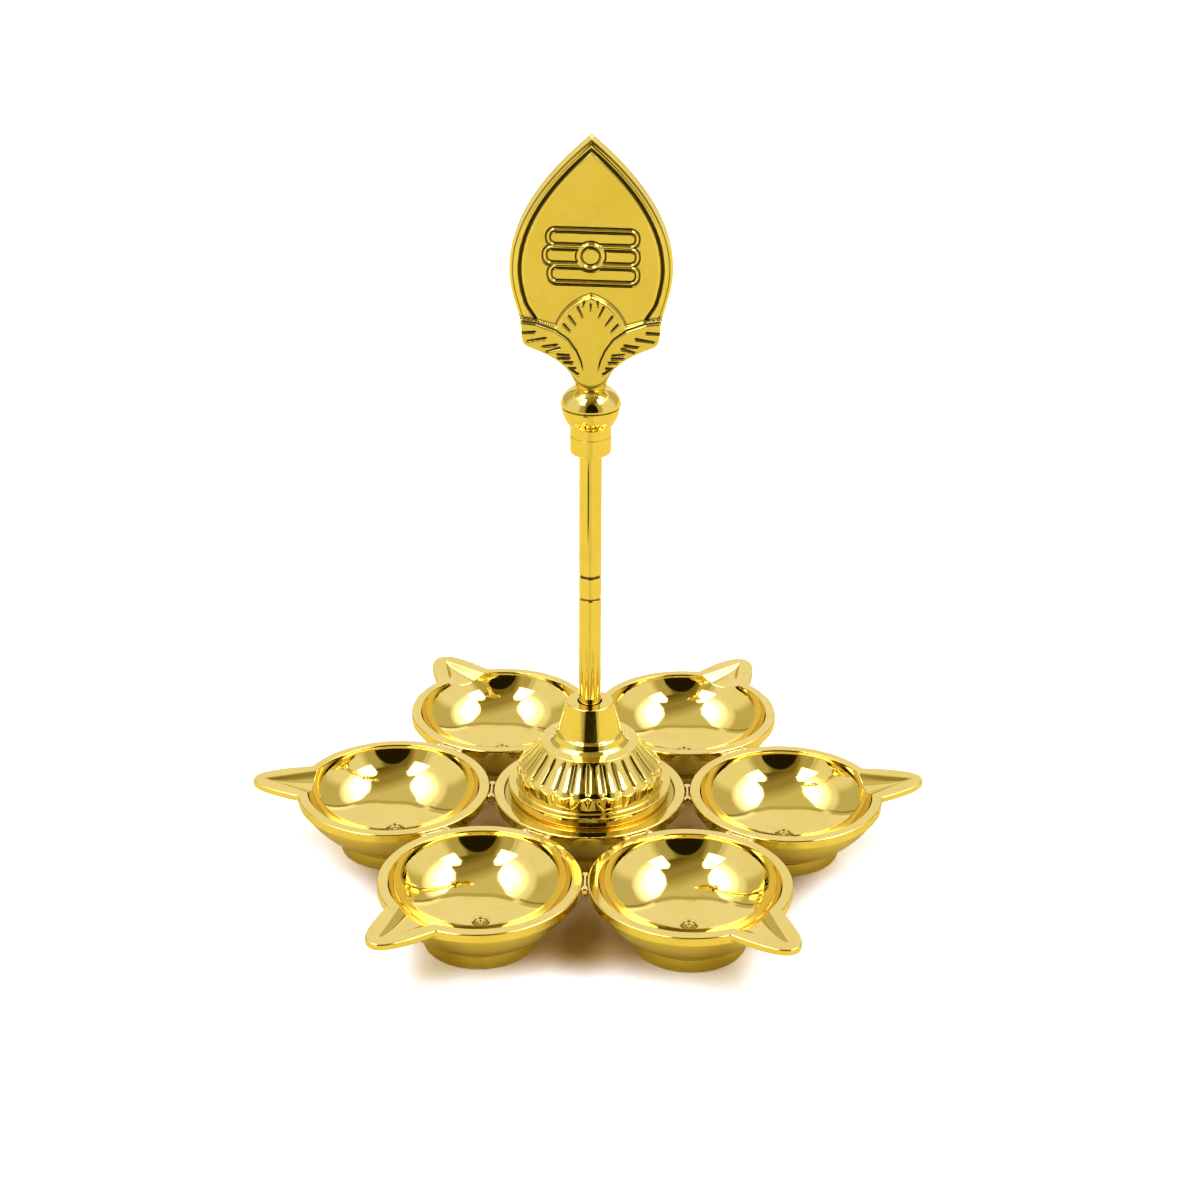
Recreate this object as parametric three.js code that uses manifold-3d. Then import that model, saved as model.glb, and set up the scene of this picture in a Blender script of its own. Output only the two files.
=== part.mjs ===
// Brass diya: six spouted oil cups soldered in a ring round a central bowl, with a fluted dome,
// a turned stem in two lengths and a spear-shaped head on a round knop.
// Millimetres, +Z up. The origin is on the stem's axis at the surface that the feet stand on.
import * as THREE from 'three';
import { mergeVertices } from 'three/addons/utils/BufferGeometryUtils.js';
import Module from 'manifold-3d';

const wasm = await Module();
wasm.setup();

// Cup castings
const cupHeight = 21;
const rimRadius = 31;
const centreRimInset = 0.16;
const rimFlatWidth = 3.2;
const rimBandHeight = 3.1;
const rimBandStep = 0.6;
const wallBulge = 1.34;
const footTopRadius = 17.2;
const footBottomRadius = 17.7;
const footHeight = 4.2;
const bowlDepth = 15.3;
const bowlSweepDeg = 85;
const markSteps = [[2.35, 0.35], [1.5, 0.6], [0.5, 0.9]];

// Ring of cups, counted anticlockwise from the right; each spout was soldered a little off its spoke
const cupGap = 1.5;
const cupPlaces = ['right', 'back_right', 'back_left', 'left', 'front_left', 'front_right'];
const spoutTurnsDeg = [13.5, 1.8, 1.7, -5.4, -9.4, 10.6];

// Spout on each cup
const spoutOverhang = 15.5;
const spoutLength = 17.8;
const spoutHalfWidth = 10.3;
const spoutTaper = 0.45;
const spoutPlate = 2.1;
const spoutRootOverlap = 7.2;
const spoutSteps = 7;
const troughHalfWidth = 6.8;
const troughFloorHalfWidth = 3.2;
const troughDepth = 2.6;
const troughTipSetback = 4.3;
const troughTipHalfWidth = 0.8;
const troughTipDepth = 0.3;
const keelHalfWidth = 5.6;
const keelDepth = 7;
const keelTipHalfWidth = 1.6;
const keelTipSetback = 3.6;

// Solder links between neighbouring rims
const linkLength = 10;
const linkTabLength = 1.7;
const linkTabTaper = 0.5;
const linkWaistHalfWidth = 0.42;
const linkHeight = 2.4;
const linkDrop = 0.25;
const linkClearance = 0.05;

// Fluted dome on the central bowl
const domeSkirtClearance = 1.3;
const domeStepRise = 4;
const domeStepChamfer = 0.8;
const domeLedge = 2.9;
const domeBandInset = 1.1;
const domeBandHeight = 4.3;
const bellHeight = 9.7;
const bellOverhang = 0.5;
const bellTopRadius = 15.74;
const bellHollow = 0.45;
const fluteCount = 26;
const fluteDepth = 0.85;
const fluteEnd = 0.1;
const fluteTopShare = 0.6;
const scallopDrop = 0.45;
const shoulderRise = 0.85;
const shoulderRadius = 12.67;
const collarRise = 2.6;
const collarRadius = 10.9;
const frustumBaseRadius = 10.3;
const frustumBaseRise = 0.85;
const frustumHeight = 10.1;
const frustumTopRadius = 7.4;
const frustumEdge = 0.8;
const domeWall = 2.8;

// Stem, studs and threads
const stemRadius = 3.5;
const stemSocketDepth = 6;
const stemSocketClearance = 0.4;
const lowerStemExposed = 36.7;
const couplingLength = 6.8;
const upperStemExposed = 40.8;
const grooveWidth = 0.9;
const grooveDepth = 0.5;
const studRadius = 2;
const studClearance = 0.3;
const studGrip = 8;
const seatGap = 0.1;

// Knop: a ferrule with the lower half-ball, and the cap over it
const ferruleRadius = 6.28;
const ferruleEdge = 0.9;
const ferruleSocketDepth = 4;
const ballEquatorRise = 15.2;
const ballRadius = 8.8;
const ballDepth = 9.3;
const capRadius = 9.06;
const capLip = 0.6;
const capHeight = 6.9;
const tangRadius = 2.9;
const tangClearance = 0.3;
const tangDepth = 1.4;

// Head: a flat leaf with a border groove, three bars, a ring and a leafed base, the same on both faces
const headTurnDeg = -4;
const bladeHeight = 75.6;
const bladeThickness = 5;
const bladeBevel = 0.9;
const neckRadius = 4.65;
const neckBlend = 9;
const bladeWaist = [20.55, 20];
const bladeLeafTip = [20.7, 14.6];
const bladeWide = [23.9, 36];
const tipHandle = [12, 10.1];
const wideHandles = [16, 6];
const waistHandle = [1, 4];
const leafTipBulge = 0.6;
const leafHandle = [6.2, 3.1];
const neckHandle = [1.5, 1];
const borderWidth = 3;
const borderGroove = 0.8;
const reliefHeight = 0.6;
const barHalfLength = 13.4;
const barHeights = [35.1, 40.8, 46.4];
const barWidths = [5.2, 4, 4.7];
const ringHeight = 40.6;
const ringRise = 0.25;
const ringOuterRadius = 4.2;
const ringInnerRadius = 3;
const calyxHalfThickness = 4.6;
const leafTopRise = 1.3;
const petalHalfWidth = 10.3;
const petalFoot = 19.4;
const petalPeak = 28.4;
const petalShoulder = [7.7, 26.4];

// Fineness of the round work
const cupSegments = 36;
const stemSegments = 24;
const knopSegments = 28;
const studSegments = 16;
const curveSteps = 6;
const wallSteps = 4;
const bowlSteps = 6;
const overcut = 1;

// Sizes that follow from the ones above
const cupCount = cupPlaces.length;
const ringRadius = 2 * rimRadius + cupGap;
const centreRimRadius = rimRadius - centreRimInset;
const spoutReach = rimRadius + spoutOverhang;
const centreGap = ringRadius - rimRadius - centreRimRadius;
const centreMouthRadius = centreRimRadius - rimFlatWidth;
const domeSkirtRadius = centreMouthRadius - domeSkirtClearance;
const domeBandRadius = domeSkirtRadius - domeLedge - domeBandInset;
const bellBottomRadius = domeBandRadius + bellOverhang;
const domeStepTop = cupHeight + domeStepRise;
const bellBottom = domeStepTop + domeBandHeight;
const bellTop = bellBottom + bellHeight;
const shoulderTop = bellTop + shoulderRise;
const collarTop = shoulderTop + collarRise;
const frustumBase = collarTop + frustumBaseRise;
const frustumTop = frustumBase + frustumHeight;
const stemBottom = frustumTop - stemSocketDepth;
const couplingBottom = frustumTop + lowerStemExposed;
const couplingTop = couplingBottom + couplingLength;
const ferruleBottom = couplingTop + upperStemExposed;
const stemTop = ferruleBottom + ferruleSocketDepth;
const ballEquator = ferruleBottom + ballEquatorRise;
const capTop = ballEquator + capHeight * Math.sqrt(1 - (neckRadius / capRadius) ** 2);
const bladeBase = capTop + seatGap;
const stemSocketRadius = stemRadius + stemSocketClearance;
const studHoleRadius = studRadius + studClearance;
const studHoleDepth = studGrip + studClearance;
const tangSocketRadius = tangRadius + tangClearance;
const tangSocketDepth = tangDepth + tangClearance;

// Turns a three.js geometry into a closed solid, with its shared corners merged
function solidFrom(geometry) {
  const bare = geometry.clone();
  bare.deleteAttribute('normal');
  bare.deleteAttribute('uv');
  const merged = mergeVertices(bare, 1e-5);
  const corners = merged.index.array;
  const kept = [];
  for (let i = 0; i < corners.length; i += 3) {
    const [a, b, c] = [corners[i], corners[i + 1], corners[i + 2]];
    if (a !== b && b !== c && c !== a) {
      kept.push(a, b, c);
    }
  }
  const vertProperties = merged.attributes.position.array;
  return new wasm.Manifold(new wasm.Mesh({ numProp: 3, vertProperties, triVerts: new Uint32Array(kept) }));
}

function geometryFrom(solid) {
  const mesh = solid.getMesh();
  const geometry = new THREE.BufferGeometry();
  geometry.setAttribute('position', new THREE.BufferAttribute(mesh.vertProperties, 3));
  geometry.setIndex(new THREE.BufferAttribute(mesh.triVerts, 1));
  geometry.computeVertexNormals();
  return geometry;
}

// Turned solid about +Z from [radius, height] pairs
function turned(profile, segments) {
  const points = profile.map(([radius, height]) => new THREE.Vector2(radius, height));
  const geometry = new THREE.LatheGeometry(points, segments);
  geometry.rotateX(Math.PI / 2);
  return solidFrom(geometry);
}

function turnedCylinder(radius, bottom, top, segments) {
  return turned([[0, bottom], [radius, bottom], [radius, top], [0, top]], segments);
}

function meanPoint(points) {
  return [0, 1, 2].map((axis) => points.reduce((sum, point) => sum + point[axis], 0) / points.length);
}

// Closed solid through equal rings of points; each end is closed to the mean point of its ring
function lofted(rings) {
  const count = rings[0].length;
  const positions = rings.flat(2);
  const index = [];
  for (let k = 0; k < rings.length - 1; k += 1) {
    for (let j = 0; j < count; j += 1) {
      const a = k * count + j;
      const b = k * count + ((j + 1) % count);
      index.push(a, b, b + count, a, b + count, a + count);
    }
  }
  const last = (rings.length - 1) * count;
  const startPoint = rings.length * count;
  positions.push(...meanPoint(rings[0]), ...meanPoint(rings.at(-1)));
  for (let j = 0; j < count; j += 1) {
    const next = (j + 1) % count;
    index.push(startPoint, next, j, startPoint + 1, last + j, last + next);
  }
  const geometry = new THREE.BufferGeometry();
  geometry.setAttribute('position', new THREE.Float32BufferAttribute(positions, 3));
  geometry.setIndex(index);
  return solidFrom(geometry);
}

// Flat plate from a shape in x, y between two heights
function plate(shape, bottom, thickness) {
  const geometry = new THREE.ExtrudeGeometry(shape, {
    depth: thickness,
    bevelEnabled: false,
    curveSegments: wallSteps,
  });
  geometry.translate(0, 0, bottom);
  return solidFrom(geometry);
}

function shapeThrough(points) {
  return new THREE.Shape(points.map(([x, y]) => new THREE.Vector2(x, y)));
}

// Points of a gently bulged wall between two corners, both included
function bulgedWall([r0, z0], [r1, z1], bulge) {
  const [dr, dz] = [r1 - r0, z1 - z0];
  const length = Math.hypot(dr, dz);
  const points = [];
  for (let i = 0; i <= wallSteps; i += 1) {
    const t = i / wallSteps;
    const out = (4 * bulge * t * (1 - t)) / length;
    points.push([r0 + t * dr + out * dz, z0 + t * dz - out * dr]);
  }
  return points;
}

// Inner face of a bowl: part of an ellipse, from its lowest point on the axis up to the mouth
function bowlFace(mouthRadius) {
  const fullSweep = THREE.MathUtils.degToRad(bowlSweepDeg);
  const mouthCos = Math.cos(fullSweep);
  const face = [];
  for (let i = 0; i <= bowlSteps; i += 1) {
    const sweep = (fullSweep * i) / bowlSteps;
    const below = (bowlDepth * (Math.cos(sweep) - mouthCos)) / (1 - mouthCos);
    face.push([(mouthRadius * Math.sin(sweep)) / Math.sin(fullSweep), cupHeight - below]);
  }
  return face;
}

function bowlCutter(mouthRadius) {
  const above = cupHeight + overcut;
  return turned([...bowlFace(mouthRadius), [mouthRadius, above], [0, above]], cupSegments);
}

// Height at which a round skirt of a given radius meets the faceted inner face of a bowl
function seatHeight(mouthRadius, radius) {
  const face = bowlFace(mouthRadius);
  const upper = face.findIndex(([r]) => r >= radius);
  const [r0, z0] = face[upper - 1];
  const [r1, z1] = face[upper];
  return THREE.MathUtils.mapLinear(radius, r0, r1, z0, z1);
}

// Solid of revolution with the side band, the bulged wall and the foot
function bowlOutside(radius) {
  const bandBottom = cupHeight - rimBandHeight;
  const wall = bulgedWall([footTopRadius, footHeight], [radius - rimBandStep, bandBottom], wallBulge);
  return turned([
    [0, 0],
    [footBottomRadius, 0],
    ...wall,
    [radius, bandBottom + rimBandStep / 2],
    [radius, cupHeight],
    [0, cupHeight],
  ], cupSegments);
}

// Small stepped recess at the bottom of the bowl
function centreMark() {
  const floor = cupHeight - bowlDepth;
  let mark = null;
  for (const [radius, depth] of markSteps) {
    const step = turnedCylinder(radius, floor - depth, floor + overcut, studSegments);
    mark = mark ? mark.add(step) : step;
  }
  return mark;
}

// Half-width of the spout's outline at a distance back from its tip
function spoutEdge(fromTip) {
  return spoutHalfWidth * (fromTip / spoutLength) ** spoutTaper;
}

function spoutPlateSolid() {
  const side = [];
  for (let i = 1; i <= spoutSteps; i += 1) {
    const fromTip = spoutLength * (i / spoutSteps) ** 2;
    side.push([spoutReach - fromTip, spoutEdge(fromTip)]);
  }
  const root = spoutReach - spoutLength - spoutRootOverlap;
  const outline = [
    [spoutReach, 0],
    ...side,
    [root, spoutHalfWidth],
    [root, -spoutHalfWidth],
    ...side.map(([x, y]) => [x, -y]).reverse(),
  ];
  return plate(shapeThrough(outline), cupHeight - spoutPlate, spoutPlate);
}

// Ring of a trough section: sloping sides up to the rim plane, upright above it
function troughSection(x, top, floor, depth) {
  return [
    [x, -floor, cupHeight - depth],
    [x, floor, cupHeight - depth],
    [x, top, cupHeight],
    [x, top, cupHeight + overcut],
    [x, -top, cupHeight + overcut],
    [x, -top, cupHeight],
  ];
}

function troughCutter() {
  const mouthX = rimRadius - 2 * rimFlatWidth;
  const tipX = spoutReach - troughTipSetback;
  return lofted([
    troughSection(mouthX, troughHalfWidth, troughFloorHalfWidth, troughDepth),
    troughSection(tipX, troughTipHalfWidth, troughTipHalfWidth / 2, troughTipDepth),
  ]);
}

function keelSection(x, halfWidth, depth) {
  const top = cupHeight - spoutPlate / 2;
  return [
    [x, -halfWidth / 2, cupHeight - depth],
    [x, halfWidth / 2, cupHeight - depth],
    [x, halfWidth, top],
    [x, -halfWidth, top],
  ];
}

// Tapered thickening under the trough, from the wall out to near the tip
function keel() {
  return lofted([
    keelSection(rimRadius - 2 * rimFlatWidth, keelHalfWidth, keelDepth),
    keelSection(spoutReach - keelTipSetback, keelTipHalfWidth, spoutPlate + troughTipDepth),
  ]);
}

function spoutedCup() {
  const body = bowlOutside(rimRadius).add(spoutPlateSolid()).add(keel());
  const bowl = bowlCutter(rimRadius - rimFlatWidth);
  return geometryFrom(body.subtract(bowl).subtract(troughCutter()).subtract(centreMark()));
}

function centreBowl() {
  const bowl = bowlCutter(centreMouthRadius);
  return geometryFrom(bowlOutside(centreRimRadius).subtract(bowl));
}

// Link outline: x across the gap, y along it; the end tabs follow both rims
function linkEdge(radius, gap, along) {
  return gap / 2 + radius - Math.sqrt(radius ** 2 - along ** 2) - linkClearance;
}

function rimLink(lowRadius, highRadius, gap) {
  const end = linkLength / 2;
  const tab = end - linkTabLength;
  const waist = tab - linkTabTaper;
  const side = (radius, sign) => [-end, -tab, -waist, waist, tab, end].map((along) => {
    const onTab = Math.abs(along) >= tab;
    return [sign * (onTab ? linkEdge(radius, gap, along) : linkWaistHalfWidth), along];
  });
  const outline = [...side(highRadius, 1), ...side(lowRadius, -1).reverse()];
  return geometryFrom(plate(shapeThrough(outline), cupHeight - linkDrop - linkHeight, linkHeight));
}

// Plain turned outside of the dome, from the skirt in the bowl's mouth up to the frustum
function domeOutside(skirtBottom) {
  return turned([
    [0, skirtBottom],
    [domeSkirtRadius, skirtBottom],
    [domeSkirtRadius, domeStepTop - domeStepChamfer],
    [domeSkirtRadius - domeStepChamfer, domeStepTop],
    [domeSkirtRadius - domeLedge, domeStepTop],
    [domeBandRadius, domeStepTop + domeBandInset / 2],
    [domeBandRadius, bellBottom + scallopDrop],
    [bellTopRadius - 2 * fluteDepth, bellTop],
    [shoulderRadius, shoulderTop],
    [collarRadius, collarTop],
    [frustumBaseRadius, frustumBase],
    [frustumTopRadius, frustumTop - frustumEdge],
    [frustumTopRadius - frustumEdge, frustumTop],
    [0, frustumTop],
  ], cupSegments);
}

// Fluted bell: ribs between grooves that are blunt at both ends, over a scalloped lower edge
function flutedBell() {
  const stations = [0, fluteEnd, 1 - fluteEnd, 1];
  const groove = [0, 1, fluteTopShare, 0];
  const pointsPerFlute = 3;
  const points = fluteCount * pointsPerFlute;
  const rings = stations.map((station, k) => {
    const dip = 4 * bellHollow * station * (1 - station);
    const radius = THREE.MathUtils.lerp(bellBottomRadius, bellTopRadius, station) - dip;
    const ring = [];
    for (let j = 0; j < points; j += 1) {
      const inGroove = j % pointsPerFlute === 0;
      const angle = (2 * Math.PI * j) / points - Math.PI / 2;
      const r = radius - (inGroove ? fluteDepth * groove[k] : 0);
      const drop = k === 0 && !inGroove ? scallopDrop : 0;
      ring.push([r * Math.cos(angle), r * Math.sin(angle), bellBottom + station * bellHeight - drop]);
    }
    return ring;
  });
  return lofted(rings);
}

function flutedDome() {
  const skirtBottom = seatHeight(centreMouthRadius, domeSkirtRadius) + seatGap;
  const socketFloor = stemBottom - seatGap;
  const hollow = turned([
    [0, skirtBottom - overcut],
    [domeSkirtRadius - domeWall, skirtBottom - overcut],
    [domeSkirtRadius - domeWall, domeStepTop - domeWall],
    [domeBandRadius - domeWall, domeStepTop],
    [domeBandRadius - domeWall, bellBottom],
    [bellTopRadius - domeWall - fluteDepth, bellTop - domeWall],
    [studHoleRadius + domeWall, socketFloor - studHoleDepth - domeWall],
    [0, socketFloor - studHoleDepth - domeWall],
  ], cupSegments);
  const socket = turnedCylinder(stemSocketRadius, socketFloor, frustumTop + overcut, stemSegments);
  const studHole = turnedCylinder(studHoleRadius, socketFloor - studHoleDepth, frustumTop, stemSegments);
  const shell = domeOutside(skirtBottom).add(flutedBell()).subtract(hollow);
  return geometryFrom(shell.subtract(socket).subtract(studHole));
}

// Blind hole that takes half of a stud, from the face at one end of a stem
function studHoleFrom(face, direction) {
  const far = face + direction * studHoleDepth;
  const mouth = face - direction * overcut;
  return turnedCylinder(studHoleRadius, Math.min(far, mouth), Math.max(far, mouth), stemSegments);
}

function stemLower() {
  const rod = turned([
    [0, stemBottom],
    [stemRadius, stemBottom],
    [stemRadius, couplingBottom - grooveWidth],
    [stemRadius - grooveDepth, couplingBottom - grooveWidth],
    [stemRadius - grooveDepth, couplingBottom],
    [0, couplingBottom],
  ], stemSegments);
  const couplingHole = turnedCylinder(
    studHoleRadius, couplingTop - seatGap - studHoleDepth, couplingTop, stemSegments);
  return geometryFrom(rod.subtract(studHoleFrom(stemBottom, 1)).subtract(couplingHole));
}

function stemCoupling() {
  return geometryFrom(turned([
    [studHoleRadius, couplingBottom],
    [stemRadius, couplingBottom],
    [stemRadius, couplingTop - seatGap],
    [studHoleRadius, couplingTop - seatGap],
    [studHoleRadius, couplingBottom],
  ], stemSegments));
}

function stemUpper() {
  const rod = turned([
    [0, couplingTop],
    [stemRadius - grooveDepth, couplingTop],
    [stemRadius - grooveDepth, couplingTop + grooveWidth],
    [stemRadius, couplingTop + grooveWidth],
    [stemRadius, stemTop],
    [0, stemTop],
  ], stemSegments);
  return geometryFrom(rod.subtract(studHoleFrom(couplingTop, 1)).subtract(studHoleFrom(stemTop, -1)));
}

// Round stud, half of it on each side of a joint face
function stud(jointFace) {
  return geometryFrom(turnedCylinder(studRadius, jointFace - studGrip, jointFace + studGrip, studSegments));
}

function ferrule() {
  const ballFoot = ballEquator - ballDepth * Math.sqrt(1 - (ferruleRadius / ballRadius) ** 2);
  const ball = [];
  const footAngle = Math.asin((ballEquator - ballFoot) / ballDepth);
  for (let i = 0; i <= wallSteps; i += 1) {
    const angle = footAngle * (1 - i / wallSteps);
    ball.push([ballRadius * Math.cos(angle), ballEquator - ballDepth * Math.sin(angle)]);
  }
  const body = turned([
    [0, ferruleBottom],
    [ferruleRadius - ferruleEdge, ferruleBottom],
    [ferruleRadius, ferruleBottom + ferruleEdge],
    ...ball,
    [0, ballEquator],
  ], knopSegments);
  const socketTop = stemTop + seatGap;
  const stemSocket = turnedCylinder(
    stemRadius + studClearance, ferruleBottom - overcut, socketTop, stemSegments);
  const studHole = turnedCylinder(studHoleRadius, ferruleBottom, socketTop + studHoleDepth, stemSegments);
  const tangSocket = turnedCylinder(
    tangSocketRadius, ballEquator - tangSocketDepth, ballEquator + overcut, stemSegments);
  return geometryFrom(body.subtract(stemSocket).subtract(studHole).subtract(tangSocket));
}

function knopCap() {
  const dome = [];
  const topAngle = Math.asin((capTop - ballEquator) / capHeight);
  for (let i = 1; i <= wallSteps; i += 1) {
    const angle = (topAngle * i) / wallSteps;
    dome.push([capRadius * Math.cos(angle), ballEquator + capHeight * Math.sin(angle)]);
  }
  const bottom = ballEquator + seatGap;
  return geometryFrom(turned([
    [tangSocketRadius, bottom],
    [capRadius, bottom],
    [capRadius, bottom + capLip],
    ...dome.slice(1),
    [tangSocketRadius, capTop],
    [tangSocketRadius, bottom],
  ], knopSegments));
}

// Half outline of the head, from the tip down to the neck, in x and height above its base
function bladeSide() {
  const path = new THREE.Path();
  const [wideX, wideZ] = bladeWide;
  const [waistX, waistZ] = bladeWaist;
  const [tipX, tipZ] = bladeLeafTip;
  path.moveTo(0, bladeHeight);
  path.bezierCurveTo(tipHandle[0], bladeHeight - tipHandle[1], wideX, wideZ + wideHandles[0], wideX, wideZ);
  path.bezierCurveTo(
    wideX, wideZ - wideHandles[1], waistX + waistHandle[0], waistZ + waistHandle[1], waistX, waistZ);
  path.quadraticCurveTo(tipX + leafTipBulge, (waistZ + tipZ) / 2, tipX, tipZ);
  path.bezierCurveTo(
    tipX - leafHandle[0], tipZ - leafHandle[1],
    neckRadius + neckHandle[0], neckBlend - neckHandle[1],
    neckRadius, 0);
  return path.getPoints(curveSteps);
}

function bladeOutline() {
  const right = bladeSide();
  const left = right.slice(1).map((point) => new THREE.Vector2(-point.x, point.y)).reverse();
  return [...right, ...left];
}

// Moves each point of a clockwise outline inwards along the mean normal of its two sides
function insetOutline(points, distance) {
  const count = points.length;
  return points.map((point, i) => {
    const before = points[(i + count - 1) % count];
    const after = points[(i + 1) % count];
    const first = new THREE.Vector2().subVectors(point, before).normalize();
    const second = new THREE.Vector2().subVectors(after, point).normalize();
    const normal = new THREE.Vector2(first.y + second.y, -(first.x + second.x)).normalize();
    const reach = distance / Math.max(0.5, normal.dot(new THREE.Vector2(first.y, -first.x)));
    return new THREE.Vector2(point.x + normal.x * reach, point.y + normal.y * reach);
  });
}

// Bevelled plate in x, y, with its mid-plane at height 0
function bladePlate() {
  const geometry = new THREE.ExtrudeGeometry(new THREE.Shape(bladeOutline()), {
    depth: bladeThickness - 2 * bladeBevel,
    bevelThickness: bladeBevel,
    bevelSize: bladeBevel,
    bevelOffset: -bladeBevel,
    bevelSegments: 1,
  });
  geometry.translate(0, 0, bladeBevel - bladeThickness / 2);
  return solidFrom(geometry);
}

// Groove that follows the head's outline from one side of the waist over the tip to the other
function borderCutter() {
  const outline = bladeOutline();
  const sidePoints = 2 * curveSteps - 1;
  const line = (inset) => {
    const moved = insetOutline(outline, inset);
    return [...moved.slice(-sidePoints), ...moved.slice(0, sidePoints + 1)];
  };
  const band = [...line(borderWidth), ...line(borderWidth + borderGroove).reverse()];
  return plate(new THREE.Shape(band), bladeThickness / 2 - reliefHeight / 2, reliefHeight);
}

function roundedBar(height, width) {
  const shape = new THREE.Shape();
  const straight = barHalfLength - width / 2;
  shape.moveTo(-straight, height - width / 2);
  shape.lineTo(straight, height - width / 2);
  shape.absarc(straight, height, width / 2, -Math.PI / 2, Math.PI / 2, false);
  shape.lineTo(-straight, height + width / 2);
  shape.absarc(-straight, height, width / 2, Math.PI / 2, (3 * Math.PI) / 2, false);
  return plate(shape, bladeThickness / 2 - reliefHeight, 2 * reliefHeight);
}

function centreRing() {
  const shape = new THREE.Shape();
  shape.absarc(0, ringHeight, ringOuterRadius, 0, 2 * Math.PI, false);
  const hole = new THREE.Path();
  hole.absarc(0, ringHeight, ringInnerRadius, 0, 2 * Math.PI, true);
  shape.holes.push(hole);
  return plate(shape, bladeThickness / 2 - reliefHeight, 2 * reliefHeight + ringRise);
}

// Slab in x, y under the calyx's top edge: two side leaves with a pointed petal between them
function calyxSlab() {
  const [waistX, waistZ] = bladeWaist;
  const [shoulderX, shoulderZ] = petalShoulder;
  const beyond = waistX + overcut;
  const bottom = -overcut;
  const shape = new THREE.Shape();
  shape.moveTo(-beyond, bottom);
  shape.lineTo(beyond, bottom);
  shape.lineTo(beyond, waistZ + leafTopRise);
  shape.lineTo(petalHalfWidth, petalFoot);
  shape.quadraticCurveTo(shoulderX, shoulderZ, 0, petalPeak);
  shape.quadraticCurveTo(-shoulderX, shoulderZ, -petalHalfWidth, petalFoot);
  shape.lineTo(-beyond, waistZ + leafTopRise);
  return plate(shape, -calyxHalfThickness, 2 * calyxHalfThickness);
}

// Raised calyx: the lower outline turned about the axis, then cut flat in front and behind
function calyx() {
  const side = bladeSide().filter((point) => point.y <= petalPeak).map((point) => [point.x, point.y]);
  const above = petalPeak + overcut;
  const round = turned([[0, 0], ...side.reverse(), [side[0][0], above], [0, above]], stemSegments);
  return round.rotate([-90, 0, 0]).intersect(calyxSlab());
}

function spearHead() {
  let relief = centreRing();
  barHeights.forEach((height, i) => {
    relief = relief.add(roundedBar(height, barWidths[i]));
  });
  const bothFaces = (solid) => solid.add(solid.rotate([0, 180, 0]));
  const leaf = bladePlate().add(bothFaces(relief)).subtract(bothFaces(borderCutter())).add(calyx());
  const tang = turnedCylinder(tangRadius, ballEquator - tangDepth - bladeBase, overcut, stemSegments);
  return geometryFrom(leaf.rotate([90, 0, 0]).add(tang));
}

// Scene graph
const part = new THREE.Group();

const finishes = {
  cup: { color: 0xe6c568, roughness: 0.16, metalness: 1 },
  link: { color: 0xd8b659, roughness: 0.24, metalness: 1 },
  dome: { color: 0xe8c96a, roughness: 0.15, metalness: 1 },
  stem: { color: 0xdcb74a, roughness: 0.2, metalness: 1 },
  stud: { color: 0xb79a55, roughness: 0.4, metalness: 1 },
  head: { color: 0xe5c354, roughness: 0.16, metalness: 1 },
};

function piece(name, geometry, finish) {
  const mesh = new THREE.Mesh(geometry, new THREE.MeshStandardMaterial(finishes[finish]));
  mesh.name = name;
  return mesh;
}

const cupGeometry = spoutedCup();
const cupLink = rimLink(rimRadius, rimRadius, cupGap);
const spokeLink = rimLink(centreRimRadius, rimRadius, centreGap);
cupPlaces.forEach((place, i) => {
  const spoke = (2 * Math.PI * i) / cupCount;
  const halfway = (2 * Math.PI * (i + 0.5)) / cupCount;

  const cup = piece(`cup_${place}`, cupGeometry.clone(), 'cup');
  cup.position.set(ringRadius * Math.cos(spoke), ringRadius * Math.sin(spoke), 0);
  cup.rotation.z = spoke + THREE.MathUtils.degToRad(spoutTurnsDeg[i]);
  part.add(cup);

  const inner = piece(`spoke_link_${place}`, spokeLink.clone(), 'link');
  const innerAt = centreRimRadius + centreGap / 2;
  inner.position.set(innerAt * Math.cos(spoke), innerAt * Math.sin(spoke), 0);
  inner.rotation.z = spoke;
  part.add(inner);

  const outer = piece(`ring_link_${place}`, cupLink.clone(), 'link');
  const outerAt = ringRadius * Math.cos(Math.PI / cupCount);
  outer.position.set(outerAt * Math.cos(halfway), outerAt * Math.sin(halfway), 0);
  outer.rotation.z = halfway + Math.PI / 2;
  part.add(outer);
});

part.add(piece('centre_bowl', centreBowl(), 'cup'));
part.add(piece('fluted_dome', flutedDome(), 'dome'));
part.add(piece('socket_stud', stud(stemBottom), 'stud'));
part.add(piece('stem_lower', stemLower(), 'stem'));
part.add(piece('stem_coupling', stemCoupling(), 'stem'));
part.add(piece('coupling_stud', stud(couplingTop - seatGap / 2), 'stud'));
part.add(piece('stem_upper', stemUpper(), 'stem'));
part.add(piece('head_stud', stud(stemTop), 'stud'));
part.add(piece('ferrule', ferrule(), 'head'));
part.add(piece('knop_cap', knopCap(), 'head'));

const head = new THREE.Group();
head.position.z = bladeBase;
head.rotation.z = THREE.MathUtils.degToRad(headTurnDeg);
head.add(piece('spear_head', spearHead(), 'head'));
part.add(head);

export default part;
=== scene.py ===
import math

import bpy
import numpy as np
from mathutils import Matrix, Vector


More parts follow.
